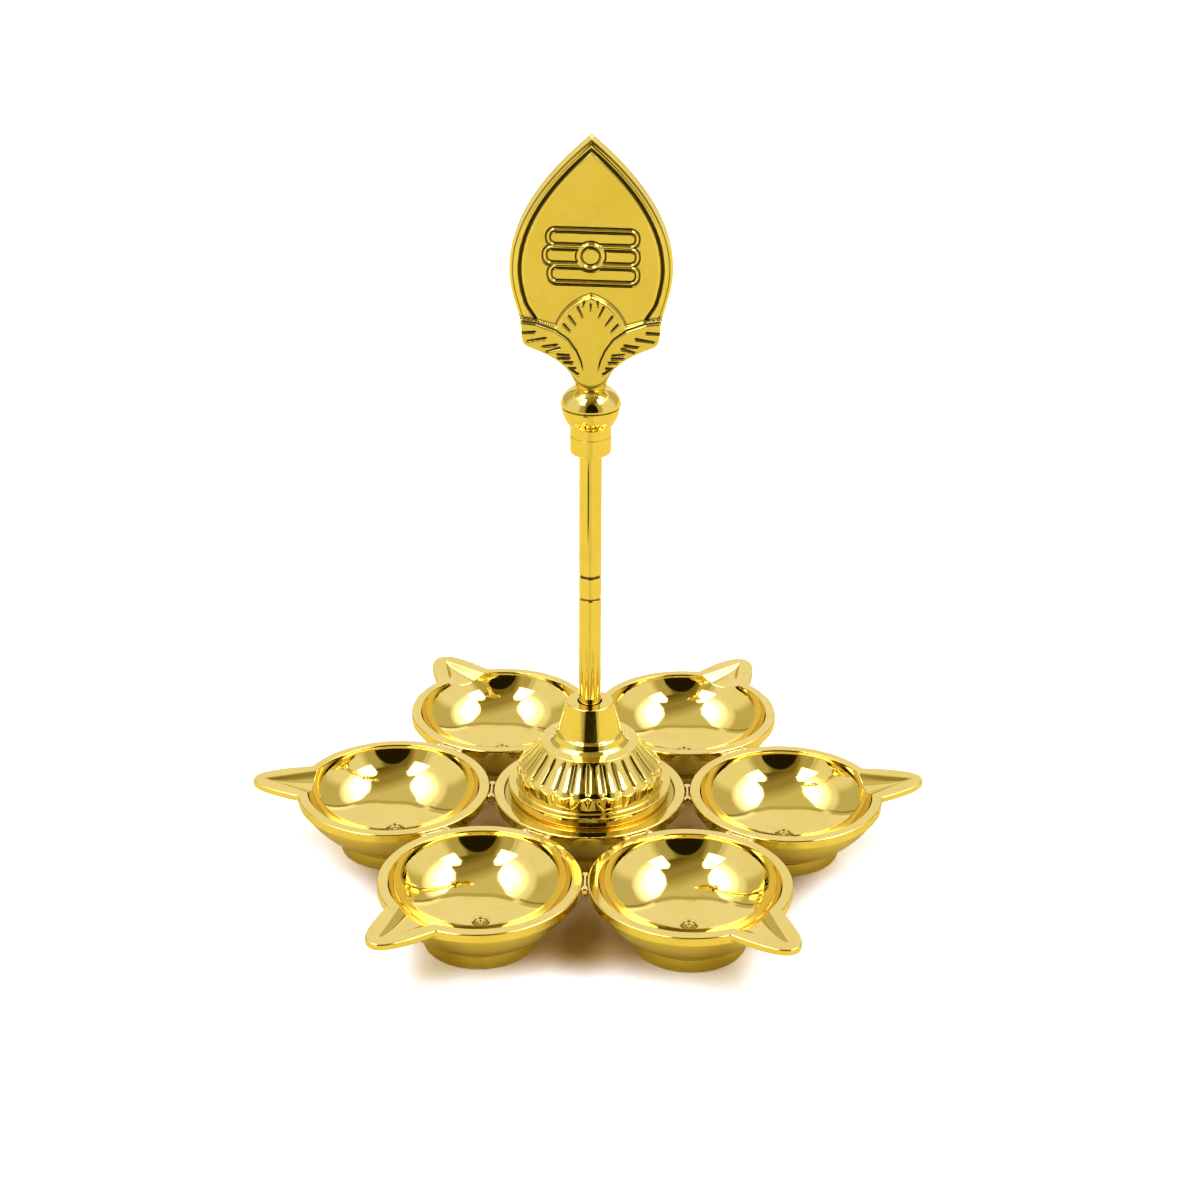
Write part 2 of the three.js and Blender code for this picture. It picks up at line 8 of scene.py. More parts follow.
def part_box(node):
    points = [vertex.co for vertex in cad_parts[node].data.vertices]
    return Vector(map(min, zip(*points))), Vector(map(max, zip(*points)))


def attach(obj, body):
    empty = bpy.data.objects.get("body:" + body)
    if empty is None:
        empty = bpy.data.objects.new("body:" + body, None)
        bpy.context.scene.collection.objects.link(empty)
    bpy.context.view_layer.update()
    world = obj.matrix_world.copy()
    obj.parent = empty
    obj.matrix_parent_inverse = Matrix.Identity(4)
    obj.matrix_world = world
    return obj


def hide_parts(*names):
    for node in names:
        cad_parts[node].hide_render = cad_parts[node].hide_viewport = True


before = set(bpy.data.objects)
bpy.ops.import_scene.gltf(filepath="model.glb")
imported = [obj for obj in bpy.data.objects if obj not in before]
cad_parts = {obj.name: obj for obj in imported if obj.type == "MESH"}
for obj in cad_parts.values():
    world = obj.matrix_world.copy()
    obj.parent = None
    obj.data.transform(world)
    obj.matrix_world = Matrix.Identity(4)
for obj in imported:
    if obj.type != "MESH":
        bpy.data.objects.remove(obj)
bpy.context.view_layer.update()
mm = 0.001
fullTurn = 2 * math.pi
toDegrees = 180 / math.pi


# Numbers and profiles

def smoothStep(values, low, high):
    # 3t^2 - 2t^3 with t running from 0 at low to 1 at high
    t = np.clip((values - low) / (high - low), 0, 1)
    return t * t * (3 - 2 * t)


def smoothMin(a, b, blend):
    # Lower of two heights, with their crease rounded over about the blend length
    h = np.clip(0.5 + 0.5 * (b - a) / blend, 0, 1)
    return b + (a - b) * h - blend * h * (1 - h)


def between(start, end, share):
    return start * (1 - share) + end * share


def ridge(distance, halfWidth):
    # Rounded ridge (1 - (distance / halfWidth)^2)^2, zero outside
    return np.clip(1 - (distance / halfWidth) ** 2, 0, 1) ** 2


def quadratic(p0, p1, p2, count=24):
    # (1-t)^2 p0 + 2t(1-t) p1 + t^2 p2
    t = np.linspace(0, 1, count)[:, None]
    p0, p1, p2 = (np.array(p, float) for p in (p0, p1, p2))
    return (1 - t) ** 2 * p0 + 2 * t * (1 - t) * p1 + t * t * p2


def cubic(p0, p1, p2, p3, count=60):
    # (1-t)^3 p0 + 3t(1-t)^2 p1 + 3t^2(1-t) p2 + t^3 p3
    t = np.linspace(0, 1, count)[:, None]
    p0, p1, p2, p3 = (np.array(p, float) for p in (p0, p1, p2, p3))
    return (1 - t) ** 3 * p0 + 3 * t * (1 - t) ** 2 * p1 + 3 * t * t * (1 - t) * p2 + t ** 3 * p3


def roundedProfile(corners, arcSteps=6, support=0.12, mostOfSide=0.42):
    # Radius and height pairs through corners, each with its fillet; rows beside each arc keep flats flat
    points = np.array([corner[:2] for corner in corners], float)
    rows = [points[:1]]
    for before, corner, after, (_, _, fillet) in zip(points, points[1:], points[2:], corners[1:]):
        toBefore, toAfter = before - corner, after - corner
        lengthBefore, lengthAfter = np.hypot(*toBefore), np.hypot(*toAfter)
        toBefore, toAfter = toBefore / lengthBefore, toAfter / lengthAfter
        half = 0.5 * math.acos(np.clip(toBefore @ toAfter, -1, 1))
        reach = min(fillet / max(math.tan(half), 1e-6), mostOfSide * lengthBefore, mostOfSide * lengthAfter)
        start, end = corner + toBefore * reach, corner + toAfter * reach
        if lengthBefore > 4 * support:
            rows.append([start + toBefore * support])
        rows.append(quadratic(start, corner, end, arcSteps + 1))
        if lengthAfter > 4 * support:
            rows.append([end + toAfter * support])
    return np.concatenate([*rows, points[-1:]])


def circle(columns):
    return np.linspace(0, fullTurn, columns, endpoint=False)


def ringsAround(radius, angle, height):
    # x = r cos(angle), y = r sin(angle), one ring of points per row
    return np.stack([radius * np.cos(angle), radius * np.sin(angle), height + 0 * angle], -1)


def turned(profile, columns):
    return ringsAround(profile[:, :1], circle(columns), profile[:, 1:])


# Sizes read from the frame

def meshPoints(node):
    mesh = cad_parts[node].data
    flat = np.empty(len(mesh.vertices) * 3, np.float32)
    mesh.vertices.foreach_get("co", flat)
    return flat.reshape(-1, 3).astype(float) / mm


def heights(node):
    low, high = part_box(node)
    return low.z / mm, high.z / mm


# Meshes

def outward(points, quads, triangles):
    # Faces turn round where the skin's signed volume, the sum of a . (b x c), is negative
    corners = np.concatenate([quads[:, [0, 1, 2]], quads[:, [0, 2, 3]], triangles])
    a, b, c = (points[corners[:, k]] for k in range(3))
    order = -1 if np.einsum("ij,ij->i", a, np.cross(b, c)).sum() < 0 else 1
    return points, quads[:, ::order], triangles[:, ::order]


def closedShell(rings, startPoint=None, endPoint=None):
    # Points, quads and triangles of a skin over rings. A fan to one point closes each end, and without
    # end points the last ring joins the first.
    rows, columns = rings.shape[:2]
    endless = startPoint is None
    column = np.arange(columns)
    following = (column + 1) % columns
    row = np.arange(rows if endless else rows - 1)[:, None]
    ring, nextRing = row * columns, (row + 1) % rows * columns
    quads = np.stack([ring + column, ring + following, nextRing + following, nextRing + column], -1)
    points, fans = [rings.reshape(-1, 3)], [np.empty((0, 3), int)]
    ends = () if endless else ((startPoint, 0, -1), (endPoint, (rows - 1) * columns, 1))
    for pole, first, order in ends:
        centre = np.full(columns, rows * columns + len(points) - 1)
        points.append(np.array([pole], float))
        fans.append(np.stack([centre, first + column, first + following], -1)[:, ::order])
    return outward(np.concatenate(points), quads.reshape(-1, 4), np.concatenate(fans))


def joinShells(*shells):
    starts = np.cumsum([0] + [len(points) for points, _, _ in shells])
    quads, triangles = (
        np.concatenate([shell[part] + start for shell, start in zip(shells, starts)]) for part in (1, 2))
    return np.concatenate([shell[0] for shell in shells]), quads, triangles


def turnedAndMoved(shell, angle, place):
    c, s = math.cos(angle), math.sin(angle)
    turn = np.array([[c, -s, 0], [s, c, 0], [0, 0, 1]])
    return shell[0] @ turn.T + np.array(place), *shell[1:]


def addObject(name, data):
    item = bpy.data.objects.new(name, data)
    bpy.context.scene.collection.objects.link(item)
    return item


def addPiece(node, shell, material, body, recess=()):
    # One smooth mesh in metres that rides on a body and stands for a CAD node.
    # Recess is the painted shade of its first points, from 0 to 1, and the others have none.
    points, quads, triangles = shell
    mesh = bpy.data.meshes.new("fine_" + node)
    corners = np.concatenate([quads.ravel(), triangles.ravel()])
    sizes = np.concatenate([np.full(len(quads), 4), np.full(len(triangles), 3)])
    mesh.vertices.add(len(points))
    mesh.vertices.foreach_set("co", (points * mm).astype(np.float32).ravel())
    mesh.loops.add(len(corners))
    mesh.loops.foreach_set("vertex_index", corners.astype(np.int32))
    mesh.polygons.add(len(sizes))
    mesh.polygons.foreach_set("loop_start", (np.cumsum(sizes) - sizes).astype(np.int32))
    mesh.update(calc_edges=True)
    mesh.validate()
    mesh.shade_smooth()
    darkness = np.zeros(len(points), np.float32)
    darkness[:np.size(recess)] = np.ravel(recess)
    mesh.attributes.new("recess", "FLOAT", "POINT").data.foreach_set("value", darkness)
    mesh.materials.append(material)
    piece = addObject("fine_" + node, mesh)
    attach(piece, body)
    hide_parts(node)


# Shader nodes

def addNode(tree, kind, inputs=(), **settings):
    # Another node's result is linked into its input, and a plain value is set on it
    node = tree.nodes.new("ShaderNode" + kind)
    for name, value in settings.items():
        setattr(node, name, value)
    for name, value in dict(inputs).items():
        value = getattr(value, "socket", value)
        if isinstance(value, bpy.types.NodeSocket):
            tree.links.new(value, node.inputs[name])
        else:
            node.inputs[name].default_value = value
    return node


class Quantity:
    # A number that shader nodes work out; each sign between two of them adds a Math node
    def __init__(self, socket):
        self.socket = socket
        self.tree = socket.id_data

    def math(self, operation, *others):
        node = addNode(self.tree, "Math", enumerate((self, *others)), operation=operation)
        return Quantity(node.outputs[0])

    def __add__(self, other):
        return self.math("ADD", other)

    def __sub__(self, other):
        return self.math("SUBTRACT", other)

    def __mul__(self, other):
        return self.math("MULTIPLY", other)

    def __truediv__(self, other):
        return self.math("DIVIDE", other)

    def __pow__(self, other):
        return self.math("POWER", other)

    def __abs__(self):
        return self.math("ABSOLUTE")


def ramp(value, low, high, start=0.0, end=1.0, smooth=True):
    limits = {"Value": value, "From Min": low, "From Max": high, "To Min": start, "To Max": end}
    kind = "SMOOTHSTEP" if smooth else "LINEAR"
    return Quantity(addNode(value.tree, "MapRange", limits, interpolation_type=kind).outputs["Result"])


def above(value, limit, soft):
    return ramp(value, limit - soft, limit + soft)


def below(value, limit, soft):
    return ramp(value, limit + soft, limit - soft)


def mix(first, second, share):
    return Quantity(addNode(share.tree, "Mix", {0: share, 2: first, 3: second}, data_type="FLOAT").outputs[0])


def mixColour(first, second, share):
    return addNode(share.tree, "Mix", {0: share, 6: first, 7: second}, data_type="RGBA").outputs[2]


def noise(place, scale, detail, stretch=(1, 1, 1), roughness=0.5):
    tree = place.id_data
    stretched = addNode(tree, "Mapping", {"Vector": place, "Scale": stretch}).outputs["Vector"]
    inputs = {"Vector": stretched, "Scale": scale, "Detail": detail, "Roughness": roughness}
    return Quantity(addNode(tree, "TexNoise", inputs).outputs["Fac"])


def tinted(colour, shares=(1, 1, 1)):
    return (*(channel * share for channel, share in zip(colour, shares)), 1)


def emptyTree(owner):
    owner.use_nodes = True
    owner.node_tree.nodes.clear()
    return owner.node_tree


def coordinates(tree, kind):
    return addNode(tree, "TexCoord").outputs[kind]


def parts(vector):
    return [Quantity(part) for part in addNode(vector.id_data, "SeparateXYZ", {0: vector}).outputs]


# Brass: object coordinates are metres, so a scale of 100 gives features of about 10 mm

brass = {
    # Recesses get painted shade: the near-black brown colour and its higher roughness below
    "paler": (1.05, 1.06, 1.25), "worn": (0.9, 0.86, 0.8), "wornShare": 0.5, "recessShade": (0.05, 0.032, 0.008),
    "driftScale": 60, "driftEdges": (0.3, 0.7), "rubScale": 150, "rubEdges": (0.52, 0.72),
    "grainScale": 900, "grainStretch": (1, 1, 1), "grainDepth": 0.004, "waveScale": 90, "waveDepth": 0.02,
    "roughness": 0.05, "rubbedRoughness": 0.09, "recessShadeRoughness": 0.45,
}


def brassMaterial(name, colour, **changes):
    # Metal with drifting tone, rubbed patches, fine bump and painted shade, darker and rougher, in its
    # recesses
    look = {**brass, **changes}
    material = bpy.data.materials.new(name)
    tree = emptyTree(material)
    place = coordinates(tree, "Object")
    recess = Quantity(addNode(tree, "Attribute", attribute_name="recess").outputs["Fac"])

    drift = ramp(noise(place, look["driftScale"], detail=3), *look["driftEdges"], smooth=False)
    rubbed = ramp(noise(place, look["rubScale"], detail=5, roughness=0.65), *look["rubEdges"])
    grain = noise(place, look["grainScale"], 4, look["grainStretch"], roughness=0.6)
    waviness = noise(place, look["waveScale"], detail=1)

    toned = mixColour(tinted(colour), tinted(colour, look["paler"]), drift)
    worn = mixColour(toned, tinted(colour, look["worn"]), rubbed * look["wornShare"])
    # Painted shade: the recess attribute darkens each recess and makes it rougher
    shadedRecesses = mixColour(worn, tinted(look["recessShade"]), recess)
    roughness = mix(mix(look["roughness"], look["rubbedRoughness"], rubbed), look["recessShadeRoughness"], recess)
    surface = grain * look["grainDepth"] + waviness * look["waveDepth"]
    bump = addNode(tree, "Bump", {"Strength": 1.0, "Distance": mm, "Height": surface})
    shader = addNode(tree, "BsdfPrincipled", {
        "Metallic": 1.0, "Base Color": shadedRecesses, "Roughness": roughness, "Normal": bump.outputs["Normal"]})
    addNode(tree, "OutputMaterial", {"Surface": shader.outputs["BSDF"]})
    return material


castBrass = brassMaterial("castBrass", (0.86, 0.68, 0.18))
domeBrass = brassMaterial("domeBrass", (0.86, 0.68, 0.17))
turnedBrass = brassMaterial(
    "turnedBrass", (0.85, 0.665, 0.16), grainStretch=(0.15, 0.15, 3), grainScale=1400, grainDepth=0.003)
headBrass = brassMaterial("headBrass", (0.86, 0.69, 0.17), waveScale=60, waveDepth=0.03)
solderBrass = brassMaterial(
    "solderBrass", (0.84, 0.66, 0.26), roughness=0.16, rubbedRoughness=0.3, grainDepth=0.05, grainScale=700)
studBrass = brassMaterial(
    "studBrass", (0.72, 0.55, 0.2), roughness=0.22, rubbedRoughness=0.34, grainDepth=0.02)
print("stage: materials")


# Cups: millimetres, with x along the spout and y across it

cup = {
    "rimFlat": 3.2, "edgeFillet": 0.45, "bandHeight": 3.1, "bandStep": 0.6, "wallBulge": 1.34,
    "footTop": 17.2, "footBottom": 17.7, "footHeight": 4.2, "footStep": 0.3,
    "bowlDepth": 15.3, "bowlSweep": math.radians(85), "mouthBlend": 0.55,
    "markRadii": (1.85, 1.0, 0.4), "markDrops": (0.5, 0.4, 0.2), "markEdges": (0.3, 0.2, 0.12),
    # Strengths of painted shade at the mark's edges, at the foot's step and under the rim band
    "markDark": 0.85, "footDark": 0.65, "bandDark": 0.4,
    "bowlRows": 60, "flatRows": 22, "wallRows": 26, "columns": 180,
    # Heights of the plain band's rows under the rim: first stretch, then second
    "bandRowStart": 1, "bandRowTurn": 0.4, "bandRowNext": 1.63, "bandRowFall": 0.9,
}
spout = {
    "tipInset": 0.1, "length": 17.8, "halfWidth": 10.3, "taper": 0.45, "plate": 2.1, "underFillet": 0.4,
    "rootBlend": 0.7, "rootStart": 0.05, "rootEnd": 1.5, "columnSpacing": 0.24, "sector": math.radians(21),
    "troughHalfWidth": 6.8, "troughLength": 14.8, "troughDepth": 2.6, "troughBlend": 0.45, "troughSkin": 0.35,
    "keelHalfWidths": (5.6, 1.2), "keelDepths": (6.2, 2.2), "keelStart": 0.35, "keelTipSetback": 3.4,
    "keelOverlap": 0.15, "keelSections": 60, "keelColumns": 56,
}


def footCentre(node):
    points = meshPoints(node)
    foot = points[points[:, 2] < 0.01]
    return (foot.min(0) + foot.max(0))[:2] / 2


def spoutDirection(node):
    # Angle and reach of the rim's farthest point from the cup's centre
    offset = meshPoints(node)[:, :2] - footCentre(node)
    reach = np.hypot(offset[:, 0], offset[:, 1])
    far = offset[np.argmax(reach)]
    return math.atan2(far[1], far[0]), reach.max() - spout["tipInset"]


def plainRimRadius(node):
    # Rim radius measured opposite the spout
    angle, _ = spoutDirection(node)
    offset = meshPoints(node)[:, :2] - footCentre(node)
    return float((offset @ -np.array([math.cos(angle), math.sin(angle)])).max())


cupHeight = heights("centre_bowl")[1]
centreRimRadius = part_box("centre_bowl")[1].x / mm
cupRimRadius = plainRimRadius("cup_right")


def bowlHeight(radius, mouth):
    # Ellipse arc r = A sin(p), z = H - B (cos(p) - cos(p0)), then straight on past the mouth
    sweep = cup["bowlSweep"]
    across = mouth / math.sin(sweep)
    deep = cup["bowlDepth"] / (1 - math.cos(sweep))
    angle = np.arcsin(np.clip(radius / across, 0, math.sin(sweep)))
    slope = deep / across * math.tan(sweep)
    past = np.maximum(radius - mouth, 0) * slope
    return cupHeight - deep * (np.cos(angle) - math.cos(sweep)) + past


def markDepth(radius):
    marks = zip(cup["markRadii"], cup["markDrops"], cup["markEdges"])
    return sum(drop * (1 - smoothStep(radius, edge - half, edge + half)) for edge, drop, half in marks)


def troughHeight(x, y, mouth):
    # Round-bottomed trough that narrows to a point: depth = D (w / W)^0.6 (1 - (|y| / w)^2.1), w at x
    share = np.clip(1 - (x - mouth) / spout["troughLength"], 0.001, 1.6)
    aside = np.abs(y) / (spout["troughHalfWidth"] * share)
    depth = spout["troughDepth"] * np.minimum(share, 1.15) ** 0.6 * (1 - np.minimum(aside, 3) ** 2.1)
    return np.where(x > 0, cupHeight - depth, cupHeight + 5)


def spoutRadius(angle, reach):
    # Polar form of the outline |y| = w (d / L)^taper behind the tip, blended into the round rim
    d = spout["length"] * np.linspace(0, 1, 400) ** 2
    x, y = reach - d, spout["halfWidth"] * (d / spout["length"]) ** spout["taper"]
    radius = np.interp(np.abs(angle), np.arctan2(y, x), np.hypot(x, y), right=0)
    return -smoothMin(-radius, -cupRimRadius + 0 * radius, spout["rootBlend"])


def spoutedColumns(reach):
    # Angles: even steps round the rim, and steps of equal outline length along the spout
    plain = np.linspace(spout["sector"], fullTurn - spout["sector"], cup["columns"])
    fine = np.linspace(0, spout["sector"], 4000)
    radius = spoutRadius(fine, reach)
    length = np.concatenate([[0], np.cumsum(np.hypot(np.diff(radius), radius[1:] * np.diff(fine)))])
    count = int(length[-1] / spout["columnSpacing"])
    side = np.interp(np.linspace(0, length[-1], count), length, fine)[:-1]
    return np.concatenate([-side[:0:-1], side, plain])


def cupOutside(rimRadius, bandBottom):
    # Radius and height pairs from the rim band's lower edge over wall and foot to the underside
    start = np.array([rimRadius - cup["bandStep"], bandBottom])
    end = np.array([cup["footTop"], cup["footHeight"]])
    along = (end - start) / np.hypot(*(end - start))
    t = np.linspace(0, 1, cup["wallRows"])[:, None]
    # Straight wall plus a bulge 4 b t (1 - t) across it
    wall = start + t * (end - start) + 4 * cup["wallBulge"] * t * (1 - t) * np.array([-along[1], along[0]])
    band = roundedProfile([
        (rimRadius, bandBottom + 0.45, 0), (rimRadius, bandBottom + 0.25, 0.12),
        (rimRadius - cup["bandStep"], bandBottom + 0.05, 0.1), (*wall[1], 0)], 3)
    foot = roundedProfile([
        (*wall[-2], 0), (cup["footTop"], cup["footHeight"] + 0.15, 0.05),
        (cup["footTop"] + cup["footStep"], cup["footHeight"], 0.12), (cup["footBottom"], 0, 0.25),
        (cup["footBottom"] - 3, 0, 0)], 4)
    return np.concatenate([band, wall[2:-2], foot, [[6, 0]]])


def cupSurface(rimRadius, reach=None):
    # Rings from the bowl's centre over the rim and down the outside to the foot's centre, and their painted
    # shade
    mouth = rimRadius - cup["rimFlat"]
    spouted = reach is not None
    angle = spoutedColumns(reach) if spouted else circle(2 * cup["columns"])
    outer = spoutRadius(angle, reach) if spouted else rimRadius + 0 * angle
    spoutness = smoothStep(outer, rimRadius + spout["rootStart"], rimRadius + spout["rootEnd"])
    # Radius per millimetre across a sloping outline
    lean = np.sqrt(1 + (np.gradient(outer, np.unwrap(angle)) / outer) ** 2)
    c, s = np.cos(angle), np.sin(angle)

    def topHeight(radius):
        height = smoothMin(bowlHeight(radius, mouth), cupHeight, cup["mouthBlend"])
        if spouted:
            height = smoothMin(height, troughHeight(radius * c, radius * s, mouth), spout["troughBlend"])
        return np.minimum(height, cupHeight) - markDepth(radius)

    # Bowl, with close rows at the mark's edges and at the mouth, then the rim's flat top
    marks = list(zip(cup["markRadii"], cup["markEdges"]))
    markRows = [np.linspace(edge - half, edge + half, 7) for edge, half in marks]
    sweeps = np.linspace(0.03, 1, cup["bowlRows"]) * cup["bowlSweep"]
    bowlRows = mouth * np.sin(sweeps) / math.sin(cup["bowlSweep"])
    innerRows = np.unique(np.concatenate([
        [0.15, 0.22], *markRows, bowlRows[(bowlRows > 2.6) & (bowlRows < mouth - 0.5)],
        np.linspace(mouth - 0.45, mouth + 0.5, 12)]))
    fillet, under = cup["edgeFillet"], spout["underFillet"]
    flat = between(mouth + 0.5, outer - lean * fillet, np.linspace(0, 1, cup["flatRows"])[1:, None])
    top = np.concatenate([innerRows[:, None] + 0 * angle, flat])

    # Rim's rounded edge, then under the spout's plate and back to the wall
    turn = np.linspace(0, math.pi / 2, 6)[1:, None]
    edge = outer - lean * fillet * (1 - np.sin(turn))
    edgeHeight = cupHeight - fillet * (1 - np.cos(turn)) + 0 * outer
    turn = np.linspace(0, math.pi / 2, 5)[:, None]
    plateBottom = cupHeight - spout["plate"]
    plain = cupHeight - cup["bandRowStart"] - cup["bandRowTurn"] * turn
    plate = outer - spoutness * lean * under * (1 - np.cos(turn))
    plateHeight = between(plain, plateBottom + under * (1 - np.sin(turn)), spoutness)
    share = np.linspace(0, 1, 12)[1:, None]
    back = between(outer - spoutness * lean * under, rimRadius, share)
    skin = np.minimum(plateBottom, topHeight(back) - spout["troughSkin"])
    backHeight = between(cupHeight - cup["bandRowNext"] - cup["bandRowFall"] * share, skin, spoutness)

    bandBottom = cupHeight - cup["bandHeight"]
    outside = cupOutside(rimRadius, bandBottom)
    radius = np.concatenate([top, edge, plate, back, outside[:, :1] + 0 * angle])
    height = np.concatenate([topHeight(top), edgeHeight, plateHeight, backHeight, outside[:, 1:] + 0 * angle])

    # Painted shade at the mark's edges, over the foot and under the rim band
    paintedShade = np.zeros(len(radius))
    for markRadius, half in marks:
        marked = cup["markDark"] * ridge(innerRows - markRadius, half * 1.1) ** 0.5
        paintedShade[:len(innerRows)] = np.maximum(paintedShade[:len(innerRows)], marked)
    paintedShade[-len(outside):] = (cup["footDark"] * ridge(outside[:, 1] - cup["footHeight"] - 0.12, 0.3)
                             + cup["bandDark"] * ridge(outside[:, 1] - bandBottom - 0.1, 0.25))
    floor = bowlHeight(np.zeros(1), mouth)[0] - sum(cup["markDrops"])
    shell = closedShell(ringsAround(radius, angle, height), (0, 0, floor), (0, 0, 0))
    return shell, paintedShade[:, None] + 0 * angle


def keelSurface(rimRadius, reach):
    # Half-round thickening under the spout, from inside the wall out to near the tip
    mouth = rimRadius - cup["rimFlat"]
    share = np.linspace(0, 1, spout["keelSections"])[:, None]
    x = between(mouth + spout["keelStart"], reach - spout["keelTipSetback"], share)
    turn = circle(spout["keelColumns"])
    y = between(*spout["keelHalfWidths"], share) * np.cos(turn)
    x = x + 0 * y
    skin = np.minimum(cupHeight - spout["plate"], troughHeight(x, y, mouth) - spout["troughSkin"])
    top = skin + spout["keelOverlap"]
    bottom = np.minimum(cupHeight - between(*spout["keelDepths"], share), skin)
    lower = np.maximum(np.sin(-turn), 0) ** 0.8
    rings = np.stack([x, y, np.where(turn > math.pi, top + (bottom - top) * lower, top)], -1)
    return closedShell(rings, rings[0].mean(0), rings[-1].mean(0))


def addCups():
    for node in sorted(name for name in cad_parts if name.startswith("cup_")):
        angle, reach = spoutDirection(node)
        shell, paintedShade = cupSurface(cupRimRadius, reach)
        shell = joinShells(shell, keelSurface(cupRimRadius, reach))
        placed = turnedAndMoved(shell, angle, (*footCentre(node), 0))
        addPiece(node, placed, castBrass, "base", paintedShade)
    shell, paintedShade = cupSurface(centreRimRadius)
    addPiece("centre_bowl", shell, castBrass, "base", paintedShade)


addCups()
print("stage: cups")


# Links

linkShape = {
    "length": 10, "tab": 3.3, "waist": 2.8, "waistHalfWidth": 0.42, "clearance": 0.05, "power": 5,
    "sections": 41, "columns": 32, "endPower": 40, "endShare": 0.3,
}


def linkSurface(height, top, gap, radius):
    # Bar along y with a superellipse section |x/a|^n + |z/b|^n = 1, wide at both ends and waisted between
    half = linkShape["length"] / 2
    along = np.linspace(-half, half, linkShape["sections"])[:, None]
    edge = gap / 2 + radius - np.sqrt(radius ** 2 - along ** 2) - linkShape["clearance"]
    onTab = smoothStep(np.abs(along), linkShape["waist"], linkShape["tab"])
    halfWidth = between(linkShape["waistHalfWidth"], edge, onTab)
    c, s = np.cos(circle(linkShape["columns"])), np.sin(circle(linkShape["columns"]))
    cx, cz = (np.sign(part) * np.abs(part) ** (2 / linkShape["power"]) for part in (c, s))
    endRound = np.sqrt(np.clip(1 - (np.abs(along) / half) ** linkShape["endPower"], linkShape["endShare"], 1))
    x = halfWidth * endRound * cx
    rings = np.stack([x, along + 0 * x, top - height / 2 + height / 2 * endRound * cz], -1)
    return closedShell(rings, rings[0].mean(0), rings[-1].mean(0))


def addLinks():
    names = ("right", "back_right", "back_left", "left", "front_left", "front_right")
    centres = [footCentre("cup_" + name) for name in names]
    for name, centre, following in zip(names, centres, centres[1:] + centres[:1]):
        low, high = heights("spoke_link_" + name)
        distance = np.hypot(*centre)
        gap = distance - cupRimRadius - centreRimRadius
        spokeMiddle = centre / distance * (centreRimRadius + gap / 2)
        ringGap = np.hypot(*(following - centre)) - 2 * cupRimRadius
        for node, middle, (x, y), space in (
                ("spoke_link_" + name, spokeMiddle, centre, gap),
                ("ring_link_" + name, (centre + following) / 2, following - centre, ringGap)):
            shell = linkSurface(high - low, high, space, cupRimRadius)
            placed = turnedAndMoved(shell, math.atan2(y, x), (*middle, 0))
            addPiece(node, placed, solderBrass, "base")


addLinks()
print("stage: links")


# Dome

dome = {
    "skirtClearance": 1.6, "stepRise": 4, "ledge": 2.3, "bandInset": 0.4, "bandHeight": 5.5,
    "bellOverhang": -0.44, "bellHeight": 8.5, "bellTop": 15.74, "bellHollow": 0.45, "bellLip": 0.25,
    "shoulderRise": 0.85, "shoulder": 12.67, "collarRise": 2.6, "collar": 10.9,
    "coneBase": 10.3, "coneBaseRise": 0.85, "coneTop": 7.4,
    # The flange's dark value is painted shade in the gap under the skirt
    "flangeInset": 0.3, "flangeTop": 0.8, "flangeBottom": 1.2, "flangeDark": 0.35,
    "socketRadius": 3.9, "studHole": 2.3, "socketDepth": 6.1, "studDepth": 8.3, "wall": 2.8,
    "hollowTop": 5.1, "centre": 0.3, "bellRows": 44,
}
flutes = {
    "count": 26, "columnsEach": 18, "depth": 0.7, "top": 0.4, "bottom": 0.55, "start": 0.1, "end": 0.92,
    # The dark value is the grooves' painted shade
    "dark": 0.95, "ribBulge": 0.5, "ribEnd": 0.85, "scallop": 0.8, "scallopRise": 0.13, "under": 0.08,
}


def flutedSurface(rings, base, top):
    # Ribs bulge between grooves; a groove is a capsule of depth D (1 - (distance / halfWidth)^2)
    radius = np.hypot(rings[..., 0], rings[..., 1])
    angle = np.arctan2(rings[..., 1], rings[..., 0])
    pitch = fullTurn / flutes["count"]
    fromGroove = np.abs((angle + math.pi / 2 + pitch / 2) % pitch - pitch / 2)
    share = (rings[..., 2] - base) / (top - base)
    halfWidth = flutes["bottom"] + (flutes["top"] - flutes["bottom"]) * np.clip(share, 0, 1)
    past = np.maximum(np.maximum(flutes["start"] - share, share - flutes["end"]), 0) * (top - base)
    distance = np.hypot(fromGroove * radius, past * 1.2) / halfWidth
    groove = np.clip(1 - distance ** 2, 0, 1) ** 0.8
    across = fromGroove / (pitch / 2)
    rib = flutes["ribBulge"] * (across * (2 - across) - 1) * smoothStep(share, 1.0, flutes["ribEnd"])
    inBell = (share >= -flutes["under"]) & (share <= 1)
    scale = (radius + np.where(inBell, rib - flutes["depth"] * groove, 0)) / radius
    lowered = across * (2 - across) * smoothStep(share, flutes["scallopRise"], 0.0) * inBell
    moved = rings * np.stack([scale, scale, 1 + 0 * scale], -1)
    moved[..., 2] -= flutes["scallop"] * lowered
    # Grooves come back with painted shade as their recess
    return moved, groove * inBell * flutes["dark"]


def domeBell(bottom, radius):
    # Cone with a slight hollow 4 h s (1 - s), drawn in under its lower edge
    lip = np.linspace(0, 0.06, 6)
    share = np.concatenate([lip, np.linspace(0.08, 0.97, dome["bellRows"]), [0.985, 1]])
    across = radius + (dome["bellTop"] - radius) * share - 4 * dome["bellHollow"] * share * (1 - share)
    across[:6] -= dome["bellLip"] * (1 - lip / 0.06) ** 2
    return np.stack([across, bottom + share * dome["bellHeight"]], -1)


